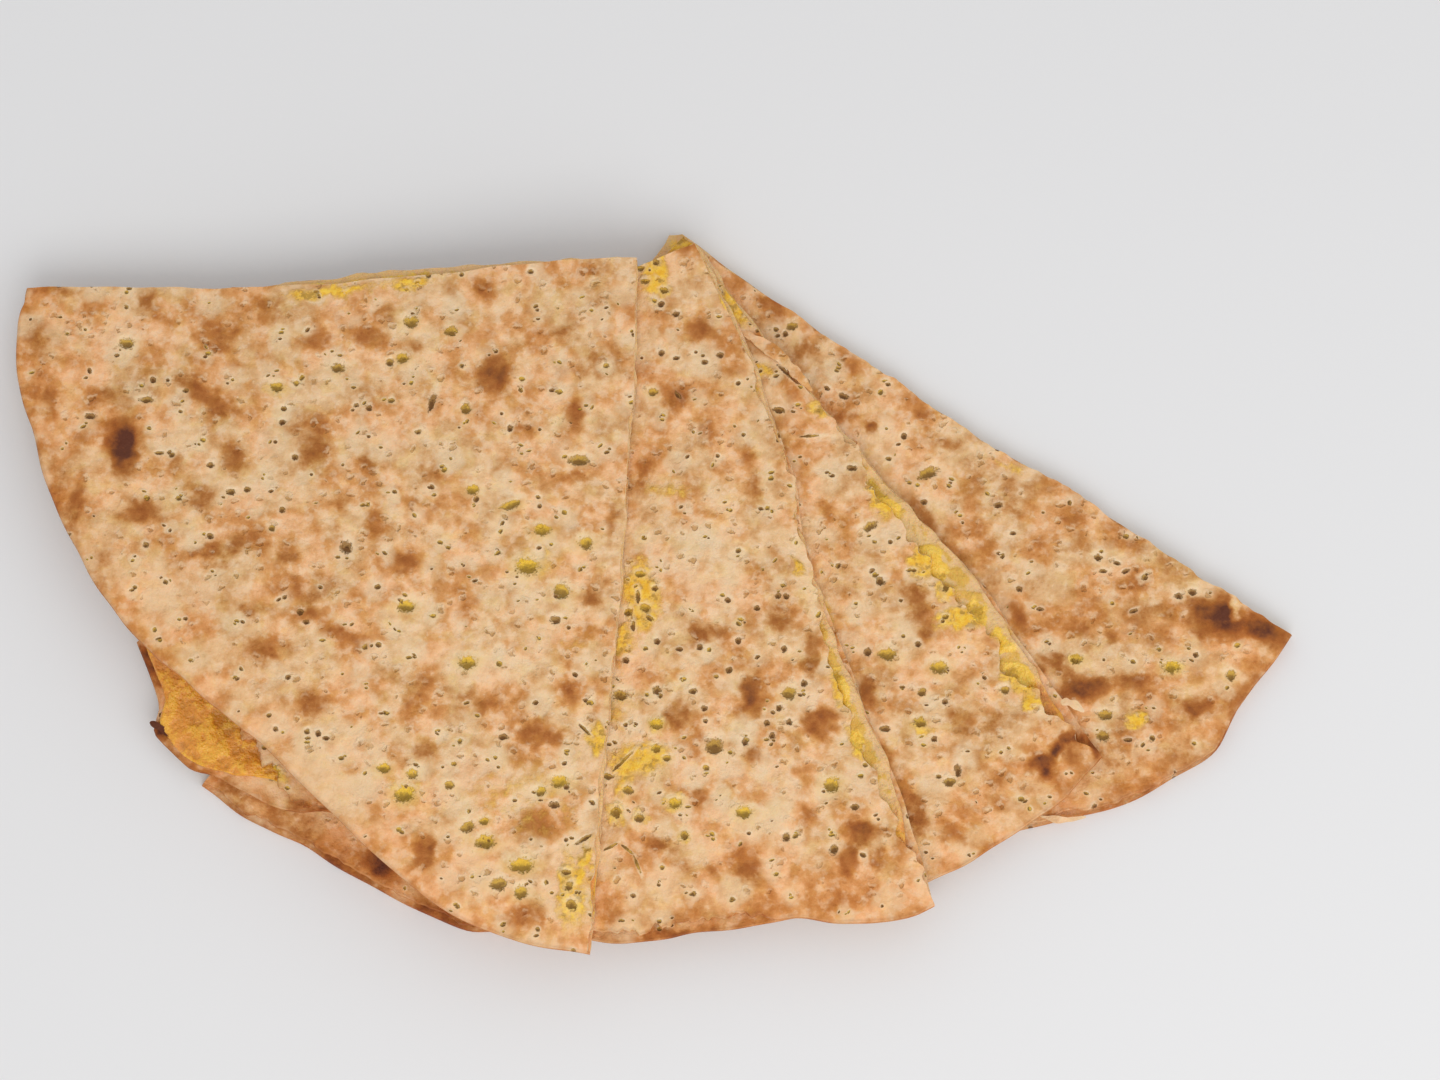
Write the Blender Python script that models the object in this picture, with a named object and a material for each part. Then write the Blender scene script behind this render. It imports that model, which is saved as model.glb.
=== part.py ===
"""A cheese tamees: one round flatbread filled with cheddar, cut into quarters that lie stacked and
fanned about their tips. Each quarter is two thin sheets of bread with cheese between them.

Lengths are metres, written as millimetres times MM. Angles are degrees clockwise from +X, seen
from above. Every sheet starts as a square grid, which is thickened and then bent into a quarter
disc: one corner of the square is the tip, and the two sides that meet there are the cut edges.
"""

import math
from collections import namedtuple

import bmesh
import bpy
import numpy as np

MM = 0.001

# Driving dimensions
SHEET_THICKNESS = 1.9 * MM
CHEESE_THICKNESS = 1.2 * MM
TOUCH_GAP = 0.3 * MM
QUARTER_GAP = 0.7 * MM
QUARTER_PITCH = 2 * SHEET_THICKNESS + CHEESE_THICKNESS + 2 * TOUCH_GAP + QUARTER_GAP
WAVE_HEIGHT = 0.8 * MM
BLISTER_HEIGHT = 0.45 * MM

# The seam round the outside of the bread, where the upper sheet is pressed down
SEAM_START = 0.965
SEAM_DIP = 0.9 * MM
SEAL_LOST = 4

# Where a quarter has nothing below it, it sags: along an arc about this point
SAG_CENTRE = (-8 * MM, 90 * MM)
SAG_START_DEG = 125
SAG_SPAN_DEG = 52
SAG_DEPTH = 10 * MM
SAG_RADIUS = 190 * MM
SAG_POWER = 1.6

# Cells along each side of a sheet's grid
UPPER_CELLS = 20
LOWER_CELLS = 14
CHEESE_CELLS = 13

# rim: (angle, radius in mm) round the crust. right, left: how far a cut edge stands outside the
# straight line, in mm, at even steps from the tip to the crust.
Quarter = namedtuple("Quarter", "name tier tip right_deg left_deg rim right left")
QUARTERS = (
    Quarter(
        name="bottom_quarter",
        tier=0,
        tip=(-10.8, 93.8),
        right_deg=34.2,
        left_deg=130.5,
        rim=((34.2, 216), (41, 216), (45, 220), (49, 217), (54, 212.5), (58, 207), (63, 202),
             (72, 198), (90, 198), (102, 211), (107, 216.5), (115, 214.5), (120, 213.5),
             (126, 216), (130.5, 217)),
        right=(0.3, -1.2, -1.4, -1.5, 0.3, 0, 0.5),
        left=(0, 0.6, -0.8, 0.5, 1.0, -0.6, 0),
    ),
    Quarter(
        name="second_quarter",
        tier=1,
        tip=(-6.0, 88.8),
        right_deg=52.0,
        left_deg=144.3,
        rim=((52, 192), (58, 196), (64, 197.5), (71, 200), (80, 199), (95, 197), (110, 197),
             (121.5, 199), (126, 207), (131, 211), (134, 215), (137.5, 215.5), (139, 209),
             (142, 205), (144.3, 203)),
        right=(0, -2, -1.3, -0.5, 2.4, 0.5, -1.5),
        left=(0, -0.5, 0.7, -0.8, 0.4, 1.0, 0),
    ),
    Quarter(
        name="third_quarter",
        tier=2,
        tip=(-7.7, 87.8),
        right_deg=70.4,
        left_deg=156.0,
        rim=((70.4, 207), (72.2, 208), (75, 207), (78, 205), (82, 200.5), (86, 202), (90, 203),
             (94, 206), (98, 207), (104, 205), (111, 201), (119, 194), (127, 190), (138, 191),
             (147, 194), (156, 195)),
        right=(1.0, 4.7, 4.6, 0, 0.3, 1.7, 0),
        left=(0, 0.8, -0.6, 0.7, -0.9, 0.3, 0),
    ),
    Quarter(
        name="top_quarter",
        tier=3,
        tip=(-24.4, 81.8),
        right_deg=93.5,
        left_deg=177.6,
        rim=((93.5, 204), (98, 203), (103.5, 200), (107, 197), (110.5, 193), (114, 189),
             (118.5, 184), (123, 181), (128, 179), (134, 179.5), (140, 182), (148, 184),
             (156, 184.5), (164, 184.5), (169, 185.5), (174, 184), (177.6, 183)),
        right=(0, 1.5, 1.6, 1.7, 0.6, 0.3, 0),
        left=(0.5, 1.0, 0.4, -0.5, -2.4, -1.6, 0),
    ),
)

# How far each layer is pulled in from the quarter's outline, in mm: at even steps from the tip
# to the crust along both cut edges, and as (angle, mm) pairs round the crust.
Trim = namedtuple("Trim", "right left rim")
NO_TRIM = Trim(right=(0, 0), left=(0, 0), rim=((0, 0), (180, 0)))
TRIMS = {
    "bottom_quarter_upper_sheet": Trim(
        right=(1.5, 0.8, 0.6, 1.0, 0.5, 0.4, 0.3),
        left=(0.5, 0.5),
        rim=((34, 0), (50, 1.0), (63, 2.0), (180, 1.0)),
    ),
    "bottom_quarter_cheese": Trim(
        right=(0.5, 1.5, 1.0, 1.5, 1.5, 2, 4),
        left=(1, 1),
        rim=((0, 9), (180, 9)),
    ),
    "second_quarter_upper_sheet": Trim(
        right=(1.5, 1.0, 1.2, 5.5, 9.5, 6.5, 0.5),
        left=(0.5, 0.5, 0.5, 0.5, 0.5, 3, 4),
        rim=((52, 0), (118, 0), (123, 4), (128, 5), (131, 16), (136, 22), (144.3, 28)),
    ),
    "second_quarter_cheese": Trim(
        right=(1, 0.3, 0.5, 1.0, 1.0, 1.0, 4),
        left=(0.5, 0.5),
        rim=((52, 9), (119, 9), (128, 7), (132, 2), (138, 2.5), (144.3, 2)),
    ),
    "third_quarter_upper_sheet": Trim(
        right=(1.0, 3.2, 3.3, 1.5, 6.3, 4.7, 0),
        left=(0.4, 0.4),
        rim=((70.4, 0), (82, 0), (86, 3.0), (90, 3.3), (98, 2.4), (110, 0), (156, 0)),
    ),
    "third_quarter_cheese": Trim(
        right=(0.5, 0.9, 0.8, 0.4, 1.8, 1.2, 4),
        left=(1, 1),
        rim=((70.4, 9), (98, 7), (156, 9)),
    ),
    "top_quarter_upper_sheet": Trim(
        right=(0.3, 0.3, 0.5, 0.4, 0.6, 0.8, 0.8),
        left=(0.4, 0.8, 2.4, 2.8, 1.2, 0.5, 0),
        rim=((90, 0), (180, 0)),
    ),
    "top_quarter_cheese": Trim(
        right=(0.8, 0.6, 0.6, 0.6, 0.5, 0.3, 2),
        left=(0.5, 0.5, 0.0, 0.2, 1.5, 2, 4),
        rim=((93, 7), (180, 9)),
    ),
}

# Torn flaps that lift along the second quarter's right edge, as shares of the way from the tip to
# the crust and of the turn from the right cut edge to the left one
FLAP_SHARES = (0.25, 0.88)
FLAP_HALF_LENGTH = 0.035
FLAP_DEPTH = 0.08
FLAP_LIFT = 1.6 * MM

# Unevenness of a cut or a crust: lengths of its waves in mm, and how far it goes in and out
RAGGED_LENGTHS = (47, 31, 19)
RAGGED_DEPTH = 0.35

BLISTERS = 60
BLISTER_WIDTHS = (6 * MM, 12 * MM)

BREAD_COLOR = (0.70, 0.45, 0.25, 1.0)
BREAD_ROUGHNESS = 0.8
CHEESE_COLOR = (0.87, 0.48, 0.08, 1.0)
CHEESE_ROUGHNESS = 0.45


def material(name, color, roughness):
    """A plain Principled material."""
    made = bpy.data.materials.new(name)
    made.use_nodes = True
    shader = made.node_tree.nodes["Principled BSDF"]
    shader.inputs["Base Color"].default_value = color
    shader.inputs["Roughness"].default_value = roughness
    shader.inputs["Metallic"].default_value = 0.0
    made.diffuse_color = color
    return made


def smooth_curve(points, at):
    """A smooth curve through (x, y) points, which never swings past them, read at each x in at."""
    xs, ys = np.array(points, float).T
    steps = np.diff(xs)
    slopes = np.diff(ys) / steps
    inner = slopes[:-1] * slopes[1:]
    mean = np.where(inner > 0, 2 * inner / (slopes[:-1] + slopes[1:] + 1e-12 * (inner <= 0)), 0.0)
    tangents = np.concatenate([slopes[:1], mean, slopes[-1:]])
    at = np.clip(at, xs[0], xs[-1])
    i = np.clip(np.searchsorted(xs, at) - 1, 0, len(steps) - 1)
    t = (at - xs[i]) / steps[i]
    return (
        ys[i] * (1 + 2 * t) * (1 - t) ** 2
        + tangents[i] * steps[i] * t * (1 - t) ** 2
        + ys[i + 1] * t * t * (3 - 2 * t)
        - tangents[i + 1] * steps[i] * t * t * (1 - t)
    )


def along(values, share):
    """A smooth curve through values at even steps of share from 0 to 1."""
    return smooth_curve(list(zip(np.linspace(0, 1, len(values)), values)), share)


def heading(degrees):
    """The unit vectors at clockwise angles."""
    turned = np.radians(-degrees)
    return np.cos(turned), np.sin(turned)


def quarter_disc(u, v):
    """The angle share and radius share of a point of the unit square, bent into a quarter disc."""
    share = np.maximum(u, v)
    ratio = np.minimum(u, v) / np.maximum(share, 1e-9) / 2
    turn = np.where(v <= u, ratio, 1 - ratio)
    return np.where(share < 1e-6, 0.5, turn), share


def ragged(length, phase):
    """Small ins and outs of an edge, in mm, at each length along it."""
    waves = [np.sin(2 * math.pi * length / size + phase * size) for size in RAGGED_LENGTHS]
    return RAGGED_DEPTH * sum(waves)


def outline(quarter, trim, u, v):
    """Where a point of the unit square comes to lie on the table, seen from above."""
    turn, share = quarter_disc(u, v)
    degrees = quarter.right_deg + (quarter.left_deg - quarter.right_deg) * turn
    crust = smooth_curve(quarter.rim, degrees)
    pulled_in = smooth_curve(trim.rim, degrees)
    radius = share * (crust - pulled_in + share**4 * ragged(crust * np.radians(degrees), quarter.tier))
    right_bow = along(quarter.right, share) - along(trim.right, share) + ragged(radius, 1)
    left_bow = along(quarter.left, share) - along(trim.left, share) + ragged(radius, 2)
    x, y = quarter.tip
    for size, degrees_out in (
        (radius, degrees),
        (right_bow * (1 - turn) ** 2, quarter.right_deg - 90),
        (left_bow * turn**2, quarter.left_deg + 90),
    ):
        ahead_x, ahead_y = heading(degrees_out)
        x = x + size * ahead_x
        y = y + size * ahead_y
    sealed = np.clip(1 - pulled_in / SEAL_LOST, 0, 1)
    return x * MM, y * MM, turn, share, sealed


def wave(x, y):
    """The gentle rise and fall that all sheets share, from 0 to WAVE_HEIGHT."""
    swell = np.sin(x / (21 * MM) + 0.6) + np.sin((x + 2 * y) / (38 * MM)) + np.sin(y / (17 * MM) + 2)
    return WAVE_HEIGHT * (swell / 6 + 0.5)


def sag(x, y):
    """How far a quarter hangs down where nothing carries it."""
    from_x = x - SAG_CENTRE[0]
    from_y = y - SAG_CENTRE[1]
    degrees = np.degrees(-np.arctan2(from_y, from_x)) % 360
    degrees = np.where(degrees > 270, 0, degrees)
    beyond = np.clip((degrees - SAG_START_DEG) / SAG_SPAN_DEG, 0, 1.1)
    return SAG_DEPTH * beyond**SAG_POWER * np.hypot(from_x, from_y) / SAG_RADIUS


def blisters(x, y, seed):
    """Low bumps and hollows that baking leaves on the top of a quarter."""
    rng = np.random.default_rng(seed)
    height = np.zeros_like(x)
    for _ in range(BLISTERS):
        centre_x = rng.uniform(x.min(), x.max())
        centre_y = rng.uniform(y.min(), y.max())
        width = rng.uniform(*BLISTER_WIDTHS)
        rise = rng.uniform(-0.6, 1.0)
        height += rise * np.exp(-((x - centre_x) ** 2 + (y - centre_y) ** 2) / width**2)
    return BLISTER_HEIGHT * np.clip(height, -1, 1)


def flaps(turn, share):
    """The lift of the torn flaps along a right cut edge."""
    lift = np.zeros_like(turn)
    for place in FLAP_SHARES:
        lift += np.exp(-(((share - place) / FLAP_HALF_LENGTH) ** 2) - (turn / FLAP_DEPTH) ** 2)
    return FLAP_LIFT * lift


def thick_grid(cells):
    """A closed slab on the unit square: the grid's corners, with z 0 below and 1 above."""
    bm = bmesh.new()
    bmesh.ops.create_grid(bm, x_segments=cells, y_segments=cells, size=0.5)
    bmesh.ops.translate(bm, verts=bm.verts, vec=(0.5, 0.5, 0))
    raised = bmesh.ops.extrude_face_region(bm, geom=bm.faces[:])
    top = [item for item in raised["geom"] if isinstance(item, bmesh.types.BMVert)]
    bmesh.ops.translate(bm, verts=top, vec=(0, 0, 1))
    bmesh.ops.recalc_face_normals(bm, faces=bm.faces)
    return bm


def narrow_last_row(values):
    """Moves the grid's lines so that the last row is the crust's seam."""
    last = np.max(values)
    second_last = np.max(values[values < last - 1e-6])
    return np.where(values > second_last + 1e-6, 1.0, values * SEAM_START / second_last)


def layer(quarter, kind, cells, lowest, thickness, finish):
    """One sheet of bread or cheese of a quarter, as an object."""
    name = f"{quarter.name}_{kind}"
    bm = thick_grid(cells)
    mesh = bpy.data.meshes.new(name)
    bm.to_mesh(mesh)
    bm.free()
    corners = np.empty(len(mesh.vertices) * 3)
    mesh.vertices.foreach_get("co", corners)
    v, u, above = corners.reshape(-1, 3).T
    u = narrow_last_row(u)
    v = narrow_last_row(v)
    x, y, turn, share, sealed = outline(quarter, TRIMS.get(name, NO_TRIM), u, v)
    z = quarter.tier * QUARTER_PITCH + lowest + above * thickness + wave(x, y) - sag(x, y)
    if kind == "upper_sheet":
        z += above * blisters(x, y, quarter.tier)
        z -= np.where(share > (1 + SEAM_START) / 2, SEAM_DIP * sealed, 0)
    if name == "second_quarter_upper_sheet":
        z += flaps(turn, share)
    if quarter.tier == 0 and kind == "lower_sheet":
        z = np.where(above > 0.5, z, 0)
    mesh.vertices.foreach_set("co", np.column_stack([x, y, z]).ravel())
    mesh.materials.append(finish)
    return bpy.data.objects.new(name, mesh)


def centre_on_floor(objects):
    """Moves every mesh so that the origin is the middle of the whole box's underside."""
    points = np.concatenate([[corner.co[:] for corner in made.data.vertices] for made in objects])
    middle = (points.min(axis=0) + points.max(axis=0)) / 2
    for made in objects:
        for corner in made.data.vertices:
            corner.co.x -= middle[0]
            corner.co.y -= middle[1]


def main():
    for old in list(bpy.data.objects):
        bpy.data.objects.remove(old)
    collection = bpy.data.collections.new("cheese_tamees")
    bpy.context.scene.collection.children.link(collection)
    bread = material("baked_bread", BREAD_COLOR, BREAD_ROUGHNESS)
    cheese = material("cheddar", CHEESE_COLOR, CHEESE_ROUGHNESS)
    cheese_base = SHEET_THICKNESS + TOUCH_GAP
    upper_base = cheese_base + CHEESE_THICKNESS + TOUCH_GAP
    layers = (
        ("lower_sheet", LOWER_CELLS, 0, SHEET_THICKNESS, bread),
        ("cheese", CHEESE_CELLS, cheese_base, CHEESE_THICKNESS, cheese),
        ("upper_sheet", UPPER_CELLS, upper_base, SHEET_THICKNESS, bread),
    )
    made = [layer(quarter, *parts) for quarter in QUARTERS for parts in layers]
    for item in made:
        collection.objects.link(item)
    centre_on_floor(made)


main()
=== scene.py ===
"""Models and finishes a cheese tamees, a flatbread filled with cheese, cut into quarters.

Four quarters lie fanned on each other. Each one is a lower sheet of bread, a layer of melted cheese
and an upper sheet that the oven has blistered and toasted.
"""

import math
from collections import namedtuple

import bpy
import numpy as np
from bpy.props import FloatProperty, FloatVectorProperty, PointerProperty
from mathutils import Matrix, Vector, noise


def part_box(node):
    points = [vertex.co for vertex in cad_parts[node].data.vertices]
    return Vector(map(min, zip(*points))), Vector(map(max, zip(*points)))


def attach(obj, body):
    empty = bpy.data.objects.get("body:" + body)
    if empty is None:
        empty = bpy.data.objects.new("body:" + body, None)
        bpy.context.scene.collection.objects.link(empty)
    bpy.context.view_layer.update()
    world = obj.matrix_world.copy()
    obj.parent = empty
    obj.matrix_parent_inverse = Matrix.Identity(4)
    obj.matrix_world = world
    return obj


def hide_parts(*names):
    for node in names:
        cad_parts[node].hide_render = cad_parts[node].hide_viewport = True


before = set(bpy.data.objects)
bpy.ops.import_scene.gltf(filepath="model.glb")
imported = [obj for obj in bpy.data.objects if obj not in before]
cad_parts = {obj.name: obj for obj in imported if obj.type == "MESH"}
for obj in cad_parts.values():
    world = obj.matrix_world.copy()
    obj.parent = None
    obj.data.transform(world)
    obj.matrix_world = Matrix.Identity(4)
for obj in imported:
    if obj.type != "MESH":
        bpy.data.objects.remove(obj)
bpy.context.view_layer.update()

bl_info = {
    "name": "Cheese Tamees",
    "version": (1, 0, 0),
    "blender": (4, 5, 0),
    "location": "View3D > Sidebar > Tamees",
    "description": "Models and finishes four fanned quarters of a flatbread filled with cheese",
    "category": "Object",
}

MM = 0.001

# Small waves of a cut or a crust: their lengths in mm, and how far they go in and out
RAGGED_LENGTHS = (47, 31, 19)
RAGGED_DEPTH = 0.15

# Where the crust's pinched seam starts, how far it dips, and the pull-in in mm that opens it
SEAM_START = 0.945
SEAM_DIP = 0.81 * MM
SEAL_LOST = 4

# Where the quarters hang over the ones below: centre, angles, and depth at a radius
SAG_CENTRE = (-8 * MM, 90 * MM)
SAG_START_DEG = 125
SAG_SPAN_DEG = 52
SAG_DEPTH = 10 * MM
SAG_RADIUS = 190 * MM
SAG_POWER = 1.6

# Torn flaps along the second quarter's right edge, as shares of the way from tip to crust
FLAP_SHARES = (0.25, 0.88)
FLAP_HALF_LENGTH = 0.035
FLAP_DEPTH = 0.08
FLAP_LIFT = 1.6 * MM

# The model's broad blisters
BLISTERS = 60
BLISTER_WIDTHS = (6 * MM, 12 * MM)
BLISTER_RISES = (-0.6, 1.0)
BLISTER_HEIGHT = 0.45 * MM
WAVE_HEIGHT = 0.8 * MM

# The photograph's size in pixels, the sensor's width in mm, and how often a ray is bent to the bread
PHOTO_SIZE = (1440, 1080)
SENSOR_WIDTH = 36.0
RAY_ROUNDS = 4

# A quarter: its place in the stack, its tip in mm, the clockwise angles of its cut edges,
# (angle, radius) pairs of its crust in mm, and how far each cut edge bows outwards in mm
# at even steps from the tip to the crust
Quarter = namedtuple("Quarter", "name tier tip right_deg left_deg rim right left")
QUARTERS = (
    Quarter(
        name="bottom_quarter", tier=0, tip=(-10.8, 93.8), right_deg=34.2, left_deg=130.5,
        rim=((34.2, 216), (41, 216), (45, 220), (49, 217), (54, 212.5), (58, 207), (63, 202),
             (72, 198), (90, 198), (102, 211), (107, 216.5), (115, 214.5), (120, 213.5),
             (126, 216), (130.5, 217)),
        right=(0.3, -1.2, -1.4, -1.5, 0.3, 0, 0.5),
        left=(0, 0.6, -0.8, 0.5, 1.0, -0.6, 0),
    ),
    Quarter(
        name="second_quarter", tier=1, tip=(-6.0, 88.8), right_deg=52.0, left_deg=144.3,
        rim=((52, 192), (58, 196), (64, 197.5), (71, 200), (80, 199), (95, 197), (110, 197),
             (121.5, 199), (126, 207), (131, 211), (134, 215), (137.5, 215.5), (139, 209),
             (142, 205), (144.3, 203)),
        right=(0, -2, -1.3, -0.5, 2.4, 0.5, -1.5),
        left=(0, -0.5, 0.7, -0.8, 0.4, 1.0, 0),
    ),
    Quarter(
        name="third_quarter", tier=2, tip=(-7.7, 87.8), right_deg=70.4, left_deg=156.0,
        rim=((70.4, 207), (72.2, 208), (75, 207), (78, 205), (82, 200.5), (86, 202), (90, 203),
             (94, 206), (98, 207), (104, 205), (111, 201), (119, 194), (127, 190), (138, 191),
             (147, 194), (156, 195)),
        right=(1.0, 4.7, 4.6, 0, 0.3, 1.7, 0),
        left=(0, 0.8, -0.6, 0.7, -0.9, 0.3, 0),
    ),
    Quarter(
        name="top_quarter", tier=3, tip=(-24.4, 81.8), right_deg=93.5, left_deg=177.6,
        rim=((93.5, 204), (98, 203), (103.5, 200), (107, 197), (110.5, 193), (114, 189),
             (118.5, 184), (123, 181), (128, 179), (134, 179.5), (140, 182), (148, 184),
             (156, 184.5), (164, 184.5), (169, 185.5), (174, 184), (177.6, 183)),
        right=(0, 1.5, 1.6, 1.7, 0.6, 0.3, 0),
        left=(0.5, 1.0, 0.4, -0.5, -2.4, -1.6, 0),
    ),
)

# How far a layer is pulled in from its quarter's outline, in mm: along both cut edges at even
# steps from the tip, and as (angle, mm) pairs round the crust
Trim = namedtuple("Trim", "right left rim")
NO_TRIM = Trim(right=(0, 0), left=(0, 0), rim=((0, 0), (180, 0)))
TRIMS = {
    "bottom_quarter_upper_sheet": Trim(
        right=(1.5, 0.8, 0.6, 1.0, 0.5, 0.4, 0.3), left=(0.5, 0.5),
        rim=((34, 0), (50, 1.0), (63, 2.0), (180, 1.0))),
    "bottom_quarter_cheese": Trim(
        right=(0.5, 1.5, 1.0, 1.5, 1.5, 2, 4), left=(-2.9, 0, 1, 1, 1, 1, 1), rim=((0, 9), (180, 9))),
    "second_quarter_upper_sheet": Trim(
        right=(1.5, 1.0, 1.2, 5.5, 9.5, 6.5, 0.5), left=(0.5, 0.5, 0.5, 0.5, 0.5, 3, 4),
        rim=((52, 0), (118, 0), (123, 3), (127, 6), (131, 14), (136, 22), (144.3, 28))),
    "second_quarter_cheese": Trim(
        right=(1, 0.3, 0.5, 1.0, 1.0, 1.0, 4), left=(0.5, 0.5),
        rim=((52, 9), (119, 9), (128, 7), (132, 2), (138, 2.5), (144.3, 2))),
    "third_quarter_upper_sheet": Trim(
        right=(1.0, 1.8, 1.8, 1.2, 6.3, 4.7, 0), left=(0.4, 0.4),
        rim=((70.4, 0), (82, 0), (86, 3.0), (90, 3.3), (98, 2.4), (110, 0), (156, 0))),
    "third_quarter_cheese": Trim(
        right=(0.5, 0.9, 0.8, 0.4, 1.8, 1.2, 4), left=(1, 1), rim=((70.4, 9), (98, 7), (156, 9))),
    "top_quarter_upper_sheet": Trim(
        right=(0.3, 0.3, 0.5, 0.4, 0.6, 0.8, 0.8), left=(0.4, 0.8, 2.4, 2.4, 0.2, -0.9, -1.2),
        rim=((90, 0), (174, 0), (177.6, 2.2))),
    "top_quarter_lower_sheet": Trim(
        right=(0, 0), left=(0, 0), rim=((90, 0), (174, 0), (177.6, 2.2))),
    "top_quarter_cheese": Trim(
        right=(0.8, 0.6, 0.6, 0.6, 0.5, 0.3, 2), left=(0.5, 0.5, 0.0, 0.2, 1.5, 2, 4),
        rim=((93, 7), (180, 9))),
}

# How far the torn right edge of an upper sheet goes in and out, in mm
TEARS = {"bottom_quarter": 0.8, "second_quarter": 3.6, "third_quarter": 2.4, "top_quarter": 0.8}

# The least half width of a hole that the mesh itself dips for
DENT_SIZE = 0.75 * MM

# The finish that each of the record's material slots gets
FINISHES = {"bread": "plain_baked", "toasted_bread": "blistered_and_toasted", "cheddar": "melted"}

# How many cells each piece has along a side, and rows up its wall
UPPER_CELLS = {"bottom_quarter": 210, "second_quarter": 230, "third_quarter": 240, "top_quarter": 285}
LOWER_CELLS = 100
CHEESE_CELLS = {"bottom_quarter": 80, "second_quarter": 170, "third_quarter": 150, "top_quarter": 90}
WALL_ROWS = 4

# The share of the faces that stays on a hidden underside, and the limits of a face's upward normal
UNDERSIDE_KEPT = 0.08
FACES_DOWN = -0.7
FACES_SIDEWAYS = 0.5
SMOOTH_ANGLE = math.radians(50)

# A share that counts as none, and the distance between two seeds' places in the noise
TINY = 1e-6
SEED_STEP = 7.3

# Noises of the shapes, each a share, a size and a seed
RIM_GRAINS_X = ((1, 6 * MM, 21), (1, 2.5 * MM, 22))
RIM_GRAINS_Y = ((1, 6 * MM, 23), (1, 2.5 * MM, 24))
TEAR_GRAINS = ((1, 8 * MM, 31), (0.6, 3 * MM, 32))
CRUST_GRAINS = ((1, 6 * MM, 33), (0.7, 2.5 * MM, 34))
DOUGH_GRAINS = ((1, 13 * MM, 1), (0.5, 5 * MM, 2), (0.3, 2.2 * MM, 3))
LUMP_GRAINS = ((1, 6 * MM, 8), (0.6, 2.6 * MM, 9))

# How far a torn crust goes in and out, and the share of a quarter's turn that its right tear reaches
CRUST_TEAR = 3.0 * MM
TEAR_REACH = 0.12

# The walls of a sheet: how far they stand out, the size of their crumbs, and how far these lean
WALL_RELIEF = 0.45 * MM
CRUMB_SIZE = 2.2 * MM
CRUMB_LEAN = 5 * MM
CHEESE_BULGE = 0.8 * MM

# How far the lumps of bare cheese stand out, as a share of their height, where their noise is 0
LUMPS_RAISED = 0.35

# From where to where, in mm inside the next quarter's outline, a quarter counts as covered
COVER_DEPTHS = (-1, 4)

# The numbers of a spot in the frame, after its x and y
WIDE, HIGH, TURN, STRENGTH = range(2, 6)

# How far a spot's rim wobbles, and the share of its half size within which it is at its strongest
RIM_WARP = 1.4 * MM
FULL_INSIDE = 0.3

# How many half sizes toasted places and bubbles, stains and bright cheese, and browned places reach
TOAST_REACH = 1.6
STAIN_REACH = 1.4
BROWNED_REACH = 1.35

# How much the spacing of scattered places varies, as shares of it
SPACINGS = (0.7, 1.2)

# The pale bubbles between the toasted places, and the small holes in them: how strong a toasted
# place has to be for bubbles to keep off it, and how many of its half sizes they keep off
BUBBLE_SEED = 40
BUBBLE_TRIES = 2500
BUBBLE_HALF_WIDTHS = (2.2 * MM, 5.2 * MM)
BUBBLES_AVOID = 0.3
BUBBLE_CLEARANCE = 1.1
HOLE_SEED = 80
SMALL_HOLE_SIZES = (0.35 * MM, 0.85 * MM)
SMALL_HOLE_FILLINGS = (0.05, 0.2, 0.4, 0.55, 0.7)

# The browned places of the undersides
BROWNED_SEED = 60
BROWNED_TRIES = 300
BROWNED_SPACING = 16 * MM

# Loose strips: how much narrower their ends are, how ragged, how much they curl in mm, and a
# distance that is too far for a hole or an edge to show
STRIP_TAPER = 0.8
STRIP_RAGGED = 0.7
STRIP_CURL = 0.5
FAR_OFF = 99

# What a finish multiplies a colour's channels by
PEACHY = (1.04, 0.91, 0.90)
YELLOWED = (0.97, 1.00, 0.68)
BROWNED = (0.84, 0.74, 0.62)
ROSY = (1.01, 0.90, 0.80)
# Painted shade that darkens a pock, most on its side away from the lamp
PIT_SHADE = (0.66, 0.54, 0.33)
CRUSTY = (0.85, 0.68, 0.52)

# The stage: the floor's side, and where the lamps hang from the middle of the bread
FLOOR_SIZE = 8
KEY_OFFSET = (0.02, -0.95, 1.20)
FILL_OFFSET = (0.75, -0.65, 0.65)
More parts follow.
